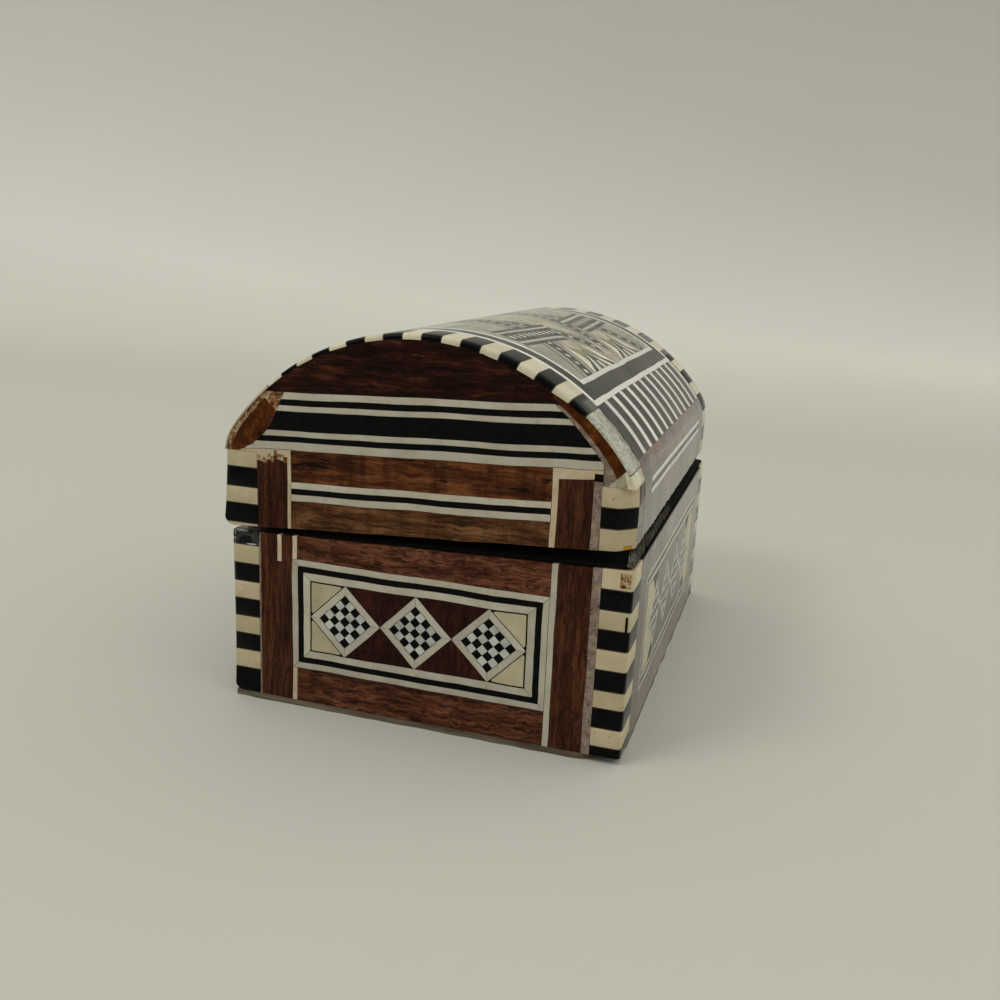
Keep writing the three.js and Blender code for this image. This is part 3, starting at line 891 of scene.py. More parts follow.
# the ends of the lid: bands that climb a little to the front
lidEnd = {
    "edges": (-32.6, 29.6, 34.6, 62), "climb": 0.043,
    "front": -27.4, "back": 28.4,  # where the posts stand
    "frontPost": 43.1, "backPost": 42.3,  # how high they reach
    "lunette": 53.4, "lunetteEnd": -19.2, "bands": 44.22,
    "uprights": {"line": -26.1, "stile": -20.9, "fillet": -20, "cap": 22.4, "backStile": 23},
    "chip": (43.7, 44.8), "crustEnd": -29.8,
}
endBands = [(53.4, "boneLine"), (52.35, "ebony"), (51.35, "boneLine"), (50.46, "ebony"),
            (47.34, "boneLine"), (46.44, "ebony"), (45.51, "boneLine"), (44.22, None)]
skirtBands = [(44.22, "warmY"), (39.06, "boneLine"), (38.05, "ebony"), (37.1, "boneLine"), (36.04, "dimY")]
fray = {"width": 0.6, "columns": 9, "height": 0.9}


def levelOf(u, v):
    return v + lidEnd["climb"] * u


def betweenPosts(u):
    return lidEnd["front"] < u < lidEnd["back"]


# the broken upper end of the lid's back stile, in columns
def frayedTop(u):
    column = math.floor((u - lidEnd["uprights"]["backStile"]) / fray["width"])
    return 41.2 + 1.5 * noise.noise((column * 1.7 + 0.4, 4.1, 0))


def bandAt(bands, level):
    k = sum(level < height for height, _ in bands) - 1
    return k, bands[k][1]


def fillerTile(u, v, s, w):
    if u > 1:
        crust = w < glueDepth(s) or s > lidEnd["crustEnd"]
        return "fillerBack", *(("fray", "crust") if crust else ("glue", "back"))
    # the lump at the lid's front foot: bone in front, and behind it the same lump painted greenish-grey as
    # painted shade
    if u < lidEnd["front"] and v < 46 and u + v < 15:
        return "fillerFront", *(("boneEdge", "pale") if u < -31 + 0.273 * (v - 43.2) else ("putty", "foot"))
    return "fillerFront", *(("glue", "front") if w < glueDepth(s) else ("boneGrey", "front"))


def skirtTile(u, v):
    at = lidEnd["uprights"]
    low, high = lidEnd["chip"]
    if not betweenPosts(u):
        return "stained", "backCap"
    if u < at["line"]:
        if low < v < high:
            return "soot", "chip"
        return ("stained", "frontFillet") if v > high else ("boneGrey", "frontLine")
    if u < at["fillet"]:
        stile = u < at["stile"] and v < 43.5 - 0.09 * (u - at["stile"])
        return ("woodZ", "frontStile") if stile else ("stained", "frontFillet")
    if u > at["backStile"]:
        top = frayedTop(u)
        if v < top:
            return "woodZ", "backStile"
        return ("fray", "frayed") if v < top + fray["height"] else ("stained", "backCap")
    if u > at["cap"]:
        return "stained", "backCap"
    k, material = bandAt(skirtBands, levelOf(u, v))
    return material, ("strip", k)


def lidEndTile(u, v):
    if v < lidEdgeAt(u) or v > outlineAt(u, outerInset(u)) + 0.03:
        return None
    between = betweenPosts(u)
    if v < (lidEnd["frontPost"] if u < 0 else lidEnd["backPost"]) and not between:
        return None
    level = levelOf(u, v)
    s, w = archPlace(u, v)
    broken = w < brokenDepth(s)
    if level > lidEnd["lunette"] and not (u <= lidEnd["lunetteEnd"] and broken):
        return "lunette", "lunetteY", "lunette"
    if u > 1 and broken and (level > lidEnd["bands"] or not between):
        return fillerTile(u, v, s, w)
    if u < 1 and (not between or broken and level > lidEnd["bands"]):
        return fillerTile(u, v, s, w)
    if level > lidEnd["bands"]:
        k, material = bandAt(endBands, level)
        return "bands", material, k
    return "skirt", *skirtTile(u, v)


def addLidEnd(side, sign):
    edges = lidEnd["edges"]
    sheet = startSheet("lidSheet", edges)
    outline = [vaultPoint(-50 + k * 1.6, edgingDepth(-50 + k * 1.6) + 0.04) for k in range(63)]
    for one, two in zip(outline, outline[1:]):
        if one[1] > 41 and two[1] > 41:
            score(sheet, one, (two[1] - one[1], one[0] - two[0]))
    mesh = bmesh.from_edit_mesh(sheet.data)
    outside = centered(lambda u, v: v > outlineAt(u, outerInset(u)) + 0.06)
    bmesh.ops.delete(mesh, geom=[face for face in mesh.faces if outside(face)], context="FACES")
    bmesh.update_edit_mesh(sheet.data)

    front, back, climb, foot = lidEnd["front"], lidEnd["back"], lidEnd["climb"], lidEnd["bands"]
    score(sheet, (0, lidEdgeAt(0)), (lidFall, 1))
    scoreUpright(sheet, front, within(-40, 0, 40, 46))
    scoreUpright(sheet, back, within(-40, 0, 40, 46))
    scoreLevel(sheet, lidEnd["backPost"], centered(lambda u, v: u > back))
    scoreLevel(sheet, lidEnd["frontPost"], centered(lambda u, v: u < front))
    for height, _ in endBands:
        score(sheet, (0, height), (climb, 1), within(-40, 42, 40, 60))
    scoreUpright(sheet, lidEnd["lunetteEnd"],
                 centered(lambda u, v: u < -10 and levelOf(u, v) > lidEnd["lunette"]))

    # the broken places and the glue inside them
    banded = centered(lambda u, v: (levelOf(u, v) < lidEnd["lunette"] or u < lidEnd["lunetteEnd"])
                      and (levelOf(u, v) > foot or not betweenPosts(u) and v > lidEnd["backPost"]))
    for depthAt in (brokenDepth, glueDepth):
        stops = [-43.3 + k * 1.1 for k in range(80)]
        arch = [vaultPoint(s, depthAt(s)) for s in stops if abs(s) > 18]
        for (u0, v0), (u1, v1) in zip(arch, arch[1:]):
            if max(abs(u0 - u1), abs(v0 - v1)) < 3:
                near = within(min(u0, u1), min(v0, v1), max(u0, u1), max(v0, v1))
                score(sheet, (u0, v0), (v1 - v0, u0 - u1), lambda face: near(face) and banded(face))

    def inCrust(u, v):
        s, w = archPlace(u, v)
        return u > 18 and foot < levelOf(u, v) < lidEnd["lunette"] and w < brokenDepth(s)

    score(sheet, vaultPoint(lidEnd["crustEnd"], 1), (-0.7, 0.72), centered(inCrust))
    corner = centered(lambda u, v: u < front and lidEnd["frontPost"] < v < 46.5)
    score(sheet, (-28, 43), (1, 1), corner)
    score(sheet, (-31, 43.2), (1, -0.273), corner)

    # the skirt: uprights, the chip, the frayed stile and the strips
    low = centered(lambda u, v: levelOf(u, v) < foot)
    at = lidEnd["uprights"]
    for u in at.values():
        scoreUpright(sheet, u, low)
    score(sheet, (at["stile"], 43.5), (0.09, 1),
          centered(lambda u, v: at["line"] < u < at["stile"] and levelOf(u, v) < foot))
    for v in lidEnd["chip"]:
        scoreLevel(sheet, v, centered(lambda u, v: front < u < at["line"] and levelOf(u, v) < foot))
    starts = [at["backStile"] + k * fray["width"] for k in range(fray["columns"])]
    for start in starts:
        scoreUpright(sheet, start, centered(lambda u, v: at["backStile"] < u < back and levelOf(u, v) < foot))
    for start in starts:
        column = centered(lambda u, v: start < u < min(back, start + fray["width"]) and levelOf(u, v) < foot)
        for lift in (0, fray["height"]):
            scoreLevel(sheet, frayedTop(start + fray["width"] / 2) + lift, column)
    strips = centered(lambda u, v: at["fillet"] < u < at["cap"] and levelOf(u, v) < foot)
    for height, _ in skirtBands[1:]:
        score(sheet, (0, height), (climb, 1), strips)

    parts = ["lunette", "bands", "fillerFront", "fillerBack", "skirt"]
    label(sheet, lidEndTile, parts)
    seams(sheet, 0.05, 0.035)
    relax(sheet, edges, 2.7)
    found = splitParts(sheet, parts)
    nodes = {"fillerFront": "filler_front", "fillerBack": "filler_back"}
    for part, piece in found.items():
        thicken(piece, sheetDepth)
        if part in nodes:
            roughen(piece)
        carry(piece, lambda u, v, w: (sign * (halfLength - w), u, v), None if part in nodes else edges)
        name = f"lid{side.title()}{part[0].upper()}{part[1:]}"
        finishPiece(piece, name, "lid", [f"lid_{side}_{nodes.get(part, part)}"])


# lumps of old glue: finer faces, pulled in and out
def roughen(piece):
    clearSelection()
    editFaces(piece)
    bpy.ops.mesh.select_all(action="SELECT")
    bpy.ops.mesh.subdivide(number_cuts=3)
    bpy.ops.mesh.quads_convert_to_tris()
    bpy.ops.object.mode_set(mode="OBJECT")
    for vert in piece.data.vertices:
        if vert.co.z > -0.2:
            depth, share = (0.3, 1) if vert.co.x > 0 else (0.1, 0.4)
            u, v, _ = vert.co
            lump = 0.5 * noise.noise((u * 0.7, v * 0.7, 1.0)) + 0.2 * noise.noise((u * 2.3, v * 2.3, 5.0))
            vert.co.z = min(-0.02, vert.co.z - depth - share * lump)


# Four straps run from the outer corners over the ridge to the middle of the other
# slope, two wide bars lie over them on each slope, and a rayed cell fills the gap.
# x and t are |u| and |v|, or the same mirrored for another quarter
strap = {"middle": 12.16, "run": (0.4856, 0.8742), "half": 3.37, "pitch": 2.35, "dot": 0.55,
         "layers": (-2.87, -2.37, -2.07, -1.62, 1.62, 2.07, 2.37, 2.87)}
bar = {"middle": 10.904, "fall": 0.068, "half": 3.58, "pitch": 2.4, "dot": 0.7,
       "layers": (-2.63, -1.88, 1.88, 2.63)}
barEnds = {True: ((1.95, 6.3), 0.9), False: ((7.6, 6.0), 0.25), "outer": ((28.3, 4.9), 0.26)}
fan = {"center": (12.0, 17.6), "turns": (13, 31, 48, 58, 118), "side": 4.2, "arrow": 20.6}
quarters = [(a, b) for a in (-1, 1) for b in (-1, 1)]


def strapAxes(x, t):
    du = x - strap["middle"]
    along, across = strap["run"]
    return du * along + t * across, du * across - t * along


def barAside(x, t):
    return t - bar["middle"] + bar["fall"] * x


def pastEnd(x, t, end):
    (x0, t0), lean = barEnds[end]
    return x - x0 - (t - t0) * lean


# what lies on top at a place: a bar, a strap, a rayed cell or plain ground
def holder(u, v):
    a, b = (1 if u > 0 else -1), (1 if v > 0 else -1)
    x, t = u * a, v * b
    if abs(barAside(x, t)) < bar["half"] and pastEnd(x, t, a * b < 0) > 0 > pastEnd(x, t, "outer"):
        return "bar", a, b
    near, far = strapAxes(x, t)[1], strapAxes(x, -t)[1]
    half = strap["half"]
    if abs(far) < half and abs(strapAxes(-x, -t)[1]) < half:
        return "wedge", a, b
    if abs(near) < half and abs(far) < half:
        return "strap", a, -a
    if abs(near) < half:
        return "strap", a, b
    if abs(far) < half:
        return "strap", a, -b
    if t > 12 and near < -half and far > half:
        return "fan", a, b
    return ("crown" if near < 0 and far < 0 else "ground"), 0, 0


def bandTile(plan, along, aside, key):
    layer = sum(aside > edge for edge in plan["layers"])
    if layer != len(plan["layers"]) // 2:
        return "boneLine" if layer % 2 else "ebony", (*key, layer)
    place = along / plan["pitch"]
    if 0.3 < place % 1 < 0.7 and abs(aside) < plan["dot"]:
        return "rayPale", (*key, "dot", math.floor(place))
    return "ebony", (*key, "band")


def fanTile(x, t, key):
    dx, dt = x - fan["center"][0], t - fan["center"][1]
    turn = math.degrees(math.atan2(dx, dt))
    part = sum(abs(turn) > edge for edge in fan["turns"])
    key = (*key, part, turn > 0)
    if part == 5:
        return "rosy", (key[0], key[1], "top")
    if part == 4:
        return ("olive", key) if abs(dx) < fan["side"] else ("rayPale", key)
    if part == 2:
        return "rayPale", key
    if part == 0 and t > fan["arrow"]:
        return "rayPale", (key[0], key[1], "arrow")
    return "ebonyWorn", (*key[:2], "gap", part == 3, turn > 0)


def mosaicTile(u, v):
    kind, a, b = holder(u, v)
    if kind == "bar":
        return bandTile(bar, u * a, barAside(u * a, v * b), (kind, a, b))
    if kind == "strap":
        return bandTile(strap, *strapAxes(u * a, v * b), (kind, a, b))
    if kind == "fan":
        return fanTile(u * a, v * b, (a, b))
    if kind == "wedge":
        return "rosy", (kind, b)
    return ("pearlCrown" if kind == "crown" else "pearl"), kind


# the black and white border of the mosaic, the ribs below it and the skirts, by how far out they begin
border = {"line": 22.6, "ebony": 23.55, "foot": 26.6, "ribs": 27.57}
archSides = {"inner": 31.6, "ebony": 32.7, "outer": 35.75}
skirtLine = {"start": 41.64, "ebony": (42.44, 43.44), "end": 44.24}
rib = {"first": -30.9, "pitch": 6, "half": 1.02, "count": 12}
vaultFoot = {"front": 33.9, "back": 29.75}


def vaultTile(u, v):
    x, s = abs(u), abs(v)
    side = "front" if v > 0 else "back"
    if s > wallArc(vaultFoot[side]) or (v < 0 and s > wallArc(hingeNotch["lidFoot"]) and inNotch(u)):
        return None
    if s > vault["arc"]:
        part = side + "Skirt"
        if x > stileEnd:
            return part, "boneGrey", (side, "edge", u > 0)
        if x > stileStart:
            return part, "woodZ", (side, "stile", u > 0)
        if s < skirtLine["start"]:
            return part, "woodX", (side, "upper")
        if s > skirtLine["end"]:
            return part, "woodX", (side, "lower")
        low, high = skirtLine["ebony"]
        return part, "ebony" if low < s < high else "reedLine", (side, s > 42.9)
    if s > border["ribs"]:
        along = u - rib["first"]
        k = math.floor((along + rib["pitch"] / 2) / rib["pitch"])
        past = along - rib["pitch"] * k
        white = abs(past) < rib["half"] and 0 <= k < rib["count"]
        return side + "Reeding", "reedLine" if white else "ebony", (side, k if white else past > 0, k)
    if x > archSides["inner"]:
        part = "leftArch" if u < 0 else "rightArch"
        if s > border["foot"]:
            return part, "reedLine", ("foot", side)
        if x > archSides["outer"]:
            return part, "reedLine", ("outer", u > 0)
        if x > archSides["ebony"] or s > border["ebony"]:
            return part, "ebony", "frame"
        return part, "reedLine", ("inner", u > 0)
    if s > border["foot"]:
        return side + "Ebony", "reedLine", ("foot", side)
    if s > border["ebony"]:
        return side + "Ebony", "ebony", "frame"
    if s > border["line"]:
        return side + "Ebony", "reedLine", ("head", side)
    return "mosaic", *mosaicTile(u, v)


def mosaicCuts(sheet):
    def cut(flips, through, across, test):
        a, b = flips
        held = centered(lambda u, v: abs(u) < archSides["inner"] and abs(v) < border["line"]
                        and test(u * a, v * b, holder(u, v)))
        score(sheet, (through[0] * a, through[1] * b), (across[0] * a, across[1] * b), held)

    inMosaic = lambda x, t, held: True
    cut((1, 1), (0, 0), (1, 0), inMosaic)
    cut((1, 1), (0, 0), (0, 1), inMosaic)
    for flips in quarters:
        here = lambda x, t, held: x > 0 and t > 0
        long = flips[0] * flips[1] < 0
        for off in (-bar["half"], bar["half"]):
            cut(flips, (0, bar["middle"] + off), (bar["fall"], 1), here)
        level = lambda x, t, held: x > 0 and abs(barAside(x, t)) < bar["half"]
        for end in (long, "outer"):
            (x0, t0), lean = barEnds[end]
            cut(flips, (x0, t0), (1, -lean), level)
        mine = lambda x, t, held: held == ("bar", *flips)
        for off in bar["layers"]:
            cut(flips, (0, bar["middle"] + off), (bar["fall"], 1), mine)
        core = lambda x, t, held: mine(x, t, held) and abs(barAside(x, t)) < bar["layers"][2]
        for k in range(12):
            for share in (0.3, 0.7):
                cut(flips, ((k + share) * bar["pitch"], 0), (1, 0), core)
        dotted = lambda x, t, held: core(x, t, held) and 0.3 < x / bar["pitch"] % 1 < 0.7
        for off in (-bar["dot"], bar["dot"]):
            cut(flips, (0, bar["middle"] + off), (bar["fall"], 1), dotted)

    along, across = strap["run"]
    for flips in quarters:
        open_ = lambda x, t, held: held[0] != "bar" and (x > 0 or t < -14)
        for off in (-strap["half"], strap["half"]):
            cut(flips, (strap["middle"] + off * across, -off * along), (across, -along), open_)
    for flips in quarters:
        mine = lambda x, t, held: held == ("strap", *flips)
        for off in strap["layers"]:
            cut(flips, (strap["middle"] + off * across, -off * along), (across, -along), mine)
        core = lambda x, t, held: mine(x, t, held) and abs(strapAxes(x, t)[1]) < strap["layers"][4]
        for k in range(-12, 12):
            for share in (0.3, 0.7):
                run = (k + share) * strap["pitch"]
                cut(flips, (strap["middle"] + run * along, run * across), (along, across), core)
        dotted = lambda x, t, held: core(x, t, held) and 0.3 < strapAxes(x, t)[0] / strap["pitch"] % 1 < 0.7
        for off in (-strap["dot"], strap["dot"]):
            cut(flips, (strap["middle"] + off * across, -off * along), (across, -along), dotted)
        cell = lambda x, t, held: held == ("fan", *flips)
        for turn in fan["turns"]:
            for side in (-1, 1):
                angle = math.radians(turn * side)
                cut(flips, fan["center"], (math.cos(angle), -math.sin(angle)), cell)
        for side in (-1, 1):
            cut(flips, (fan["center"][0] + side * fan["side"], 0), (1, 0), cell)
        cut(flips, (0, fan["arrow"]), (0, 1),
            lambda x, t, held: cell(x, t, held) and abs(x - fan["center"][0]) < 2)


def addVaultVeneers():
    edges = (-postStart, -54.29, postStart, 50.14)
    sheet = startSheet("vaultSheet", edges)
    for v in (*border.values(), vault["arc"], skirtLine["start"], *skirtLine["ebony"], skirtLine["end"]):
        for side in (-1, 1):
            scoreLevel(sheet, v * side)
    scoreLevel(sheet, -wallArc(hingeNotch["lidFoot"]))
    high = centered(lambda u, v: abs(v) < border["ribs"])
    for u in archSides.values():
        scoreUpright(sheet, u, high)
        scoreUpright(sheet, -u, high)
    skirts = centered(lambda u, v: abs(v) > vault["arc"])
    for u in (stileStart, stileEnd):
        scoreUpright(sheet, u, skirts)
        scoreUpright(sheet, -u, skirts)
    for u in notchEdges:
        scoreUpright(sheet, u, centered(lambda u, v: v < -44))
    ribs = centered(lambda u, v: border["ribs"] < abs(v) < vault["arc"])
    for k in range(rib["count"]):
        middle = rib["first"] + rib["pitch"] * k
        scoreUpright(sheet, middle - rib["half"], ribs)
        scoreUpright(sheet, middle + rib["half"], ribs)
    mosaicCuts(sheet)
    parts = ["mosaic", "leftArch", "rightArch", "frontEbony", "backEbony", "frontReeding", "backReeding",
             "frontSkirt", "backSkirt"]
    label(sheet, vaultTile, parts)
    seams(sheet, 0.025, 0.02)
    # finer faces, so that the sheet can bend over the vault
    for k in range(-8, 9):
        scoreUpright(sheet, k * 4.3,
                     centered(lambda u, v: abs(v) > border["line"] or abs(u) > archSides["inner"]))
    for k in range(-24, 25):
        scoreLevel(sheet, k * 1.57)
    for k in range(1, 8):
        for side in (-1, 1):
            scoreLevel(sheet, side * (vault["arc"] + k * 0.69))
    lowest = centered(lambda u, v: v > 49.2)
    for k in range(-52, 53):
        scoreUpright(sheet, k * 0.7 + 0.05, lowest)
    found = splitParts(sheet, parts)
    for vert in found["frontSkirt"].data.vertices:
        u, v, _ = vert.co
        if v > 50.0 and abs(u) < 36.9:
            wear = noise.noise((u * 0.8, 1.3, 0)) + 0.5 * noise.noise((u * 2.9, 4.3, 0)) + 0.15
            vert.co.y -= 0.45 * max(0, wear)
    nodes = {
        "mosaic": ("lid_vault_mosaic", "mosaic_inlay"),
        "leftArch": ("lid_left_arch_stringing", "stringing"),
        "rightArch": ("lid_right_arch_stringing", "stringing"),
        "frontEbony": ("lid_front_ebony_band", "ebony_inlay"),
        "backEbony": ("lid_back_ebony_band", "ebony_inlay"),
        "frontReeding": ("lid_front_reeding", "reeding_inlay"),
        "backReeding": ("lid_back_reeding", "reeding_inlay"),
        "frontSkirt": ("lid_front_skirt", "rosewood_veneer"),
        "backSkirt": ("lid_back_skirt", "rosewood_veneer"),
    }
    for part, piece in found.items():
        thicken(piece, 1.1)
        carry(piece, lambda u, v, w: (u, *vaultPoint(v, w)), edges)
        name = "lidVault" + part[0].upper() + part[1:]
        finishPiece(piece, name, "lid", [nodes[part][0]])


posts = {
    "basePostFrontLeft": {"node": "base_post_front_left", "side": -1, "wall": (-33, -28.2), "first": "bone",
                          "facet": 0.7, "patches": ((-32.6, -31.0, 28.3, 30.6, "fray"),
                                                    (-32.6, -32.2, 20, 24, "soot")),
                          "seams": (27.9, 24.7, 21.6, 18.5, 15.2, 11.9, 9.0, 5.8, 2.7)},
    "basePostFrontRight": {"node": "base_post_front_right", "side": 1, "wall": (-33, -28.2), "first": "bone",
                           "seams": (27.8, 24.7, 21.5, 18.4, 15.3, 12.1, 9.0, 5.9, 2.8)},
    "basePostBackLeft": {"node": "base_post_back_left", "side": -1, "wall": (33, 28.2), "first": "ebonyWet",
                         "foot": 1.5, "lean": 0.7, "seams": (26.8, 23.6, 20.55, 17.5, 14.5, 11.4, 8.5, 5.3)},
    "basePostBackRight": {"node": "base_post_back_right", "side": 1, "wall": (33, 28.2), "first": "bone",
                          "seams": (25.9, 22.8, 19.7, 16.5, 13.5, 10.3, 7.3, 4.2)},
    "lidPostFrontLeft": {"node": "lid_post_front_left", "side": -1, "wall": (-32.5, -27.4), "first": "bone",
                         "facet": 2.6, "profile": 0.3, "top": 43.1, "frontWood": True,
                         "patches": ((-32.0, -30.9, 33.5, 34.5, "spot"),), "seams": (40.1, 37.0)},
    "lidPostFrontRight": {"node": "lid_post_front_right", "side": 1, "wall": (-32.5, -27.4), "first": "bone",
                          "top": 43.1, "seams": (39.5, 36.6)},
    "lidPostBackLeft": {"node": "lid_post_back_left", "side": -1, "wall": (34.5, 28.4), "first": "bone",
                        "foot": 1.9, "seams": (39.7, 36.5, 33.7, 30.5)},
    "lidPostBackRight": {"node": "lid_post_back_right", "side": 1, "wall": (34.5, 28.4), "first": "bone",
                         "seams": (39.4, 36.2, 33.1)},
}


def selectEdges(piece, test):
    bpy.ops.mesh.select_all(action="DESELECT")
    bpy.ops.mesh.select_mode(type="EDGE")
    mesh = bmesh.from_edit_mesh(piece.data)
    for edge in mesh.edges:
        if test(edge.verts[0].co, edge.verts[1].co):
            edge.select_set(True)
    bmesh.update_edit_mesh(piece.data)


def startBlock(name, low, high):
    clearSelection()
    bpy.ops.mesh.primitive_cube_add(size=1, location=[(a + b) / 2 for a, b in zip(low, high)])
    piece = bpy.context.object
    piece.name = name
    piece.scale = [b - a for a, b in zip(low, high)]
    bpy.ops.object.transform_apply(location=True, rotation=False, scale=True)
    for material in mats.values():
        piece.data.materials.append(material)
    editFaces(piece)
    return piece


# labels the blocks of a bar from one end and lets them stand a hair in or out
def labelBlocks(piece, axis, stops, kinds, slack, center):
    names = list(mats)
    jitter = [random.Random(k * 31 + len(stops)).uniform(0, slack) for k in range(len(stops) + 1)]
    mesh = bmesh.from_edit_mesh(piece.data)
    tone = mesh.faces.layers.float.new("tone")
    moves = {}
    for face in mesh.faces:
        spot = face.calc_center_median()[axis]
        k = sum(spot > stop for stop in stops)
        if any(abs(vert.co[axis] - stop) < 0.004 for vert in face.verts for stop in stops):
            face.material_index = names.index("joint")
        else:
            face.material_index = names.index(kinds[k])
            for vert in face.verts:
                moves[vert.index] = jitter[k]
        face[tone] = (k * 377 % 100) / 100
    mesh.verts.ensure_lookup_table()
    for vert in mesh.verts:
        inward = center - vert.co
        inward[axis] = 0
        seam = any(abs(vert.co[axis] - stop) < 0.004 for stop in stops)
        if inward.length > 0.01:
            vert.co += inward.normalized() * (0.07 if seam else moves.get(vert.index, 0))
    bmesh.update_edit_mesh(piece.data)


# one straight cut square to an axis, through what is selected
def sliceAt(axis, place):
    through, across = [0, 0, 0], [0, 0, 0]
    through[axis], across[axis] = place, 1
    bpy.ops.mesh.bisect(plane_co=through, plane_no=across, threshold=0.0004)


def sliceAll(axis, places):
    for place in places:
        bpy.ops.mesh.select_all(action="SELECT")
        sliceAt(axis, place)


def addPost(name, plan):
    base = name.startswith("base")
    y0, y1 = plan["wall"]
    x0, x1 = postStart * plan["side"], halfLength * plan["side"]
    bottom, top = (plyTop, rimAt(y0)) if base else (lidEdgeAt(y0), plan.get("top", lidEnd["backPost"]))
    low = (min(x0, x1), min(y0, y1), bottom)
    high = (max(x0, x1), max(y0, y1), top)
    piece = startBlock(name, low, high)
    upright = lambda a, b: abs(a.z - b.z) > 1
    if "foot" in plan:
        selectEdges(piece, lambda a, b: a.z < bottom + 0.1 > b.z and abs(a.y - y0) < 0.01
                    and abs(b.y - y0) < 0.01)
        bpy.ops.mesh.bevel(offset=plan["foot"], segments=5, profile=0.5)
    selectEdges(piece, lambda a, b: upright(a, b) and abs(a.x - x1) < 0.01 and abs(a.y - y0) < 0.01)
    bpy.ops.mesh.bevel(offset=plan.get("facet", 1.6), segments=6, profile=plan.get("profile", 0.5))
    selectEdges(piece, lambda a, b: upright(a, b) and (abs(a.x - x0) < 0.01 or abs(a.y - y1) < 0.01))
    bpy.ops.mesh.bevel(offset=0.08, segments=1)
    stops = sorted(plan["seams"])
    bpy.ops.mesh.select_mode(type="FACE")
    sliceAll(2, stops)
    edges = (*stops, bottom, top)
    selectEdges(piece, lambda a, b: abs(a.z - b.z) < 0.001 and any(abs(a.z - z) < 0.002 for z in edges))
    bpy.ops.mesh.bevel(offset=0.09, segments=2, profile=0.5)
    for start, end, floor, ceiling, _ in plan.get("patches", ()):
        sliceAll(1, (start, end))
        sliceAll(2, (floor, ceiling))
    melted = plan["first"] == "ebonyWet"
    if melted:
        for k in range(1, 14):
            for axis, begin in enumerate((low[0], low[1], stops[-1])):
                bpy.ops.mesh.select_all(action="DESELECT")
                mesh = bmesh.from_edit_mesh(piece.data)
                for face in mesh.faces:
                    face.select_set(face.calc_center_median().z > stops[-1] + 0.1)
                sliceAt(axis, begin + k * 0.5)
    other = {"bone": "ebony", "ebony": "bone", "ebonyWet": "bone"}
    kinds = [plan["first"]]
    while len(kinds) <= len(stops):
        kinds.append(other[kinds[-1]])
    labelBlocks(piece, 2, stops, kinds[::-1], 0.05, Vector(((x0 + x1) / 2, (y0 + y1) / 2, 0)))
    mesh = bmesh.from_edit_mesh(piece.data)
    for face in mesh.faces:
        middle = face.calc_center_median()
        for start, end, floor, ceiling, material in plan.get("patches", ()):
            if start < middle.y < end and floor < middle.z < ceiling and abs(middle.x) > 41:
                face.material_index = list(mats).index(material)
        if "frontWood" in plan and middle.y < y0 + 0.2 and middle.x > -41.6:
            face.material_index = list(mats).index("woodZ")
    bpy.ops.object.mode_set(mode="OBJECT")
    for vert in piece.data.vertices:
        if melted and vert.co.z > stops[-1] + 0.2:
            lump = abs(noise.noise(vert.co * 1.1)) + 0.6 * abs(noise.noise(vert.co * 2.6))
            vert.co.x += 0.9 * lump
            vert.co.z -= 0.3 * lump
        if "lean" in plan:
            share = max(0, min(1, (vert.co.z - 4) / 24)) if vert.co.y > 31 else 0
            vert.co.y += plan["lean"] * share
        if vert.co.z > 42.4:
            vert.co.y += 0.16
        if base and vert.co.z > top - 0.3:
            vert.co.z += rimAt(vert.co.y) - top
        if not base and vert.co.z < bottom + 0.3:
            vert.co.z += lidEdgeAt(vert.co.y) - bottom
        vert.co *= mm
    return finishPiece(piece, name, "base" if base else "lid", [plan["node"]], 32)


edging = {"block": 3.1, "frontEnd": 40.88, "resin": (28.2, 38.6)}


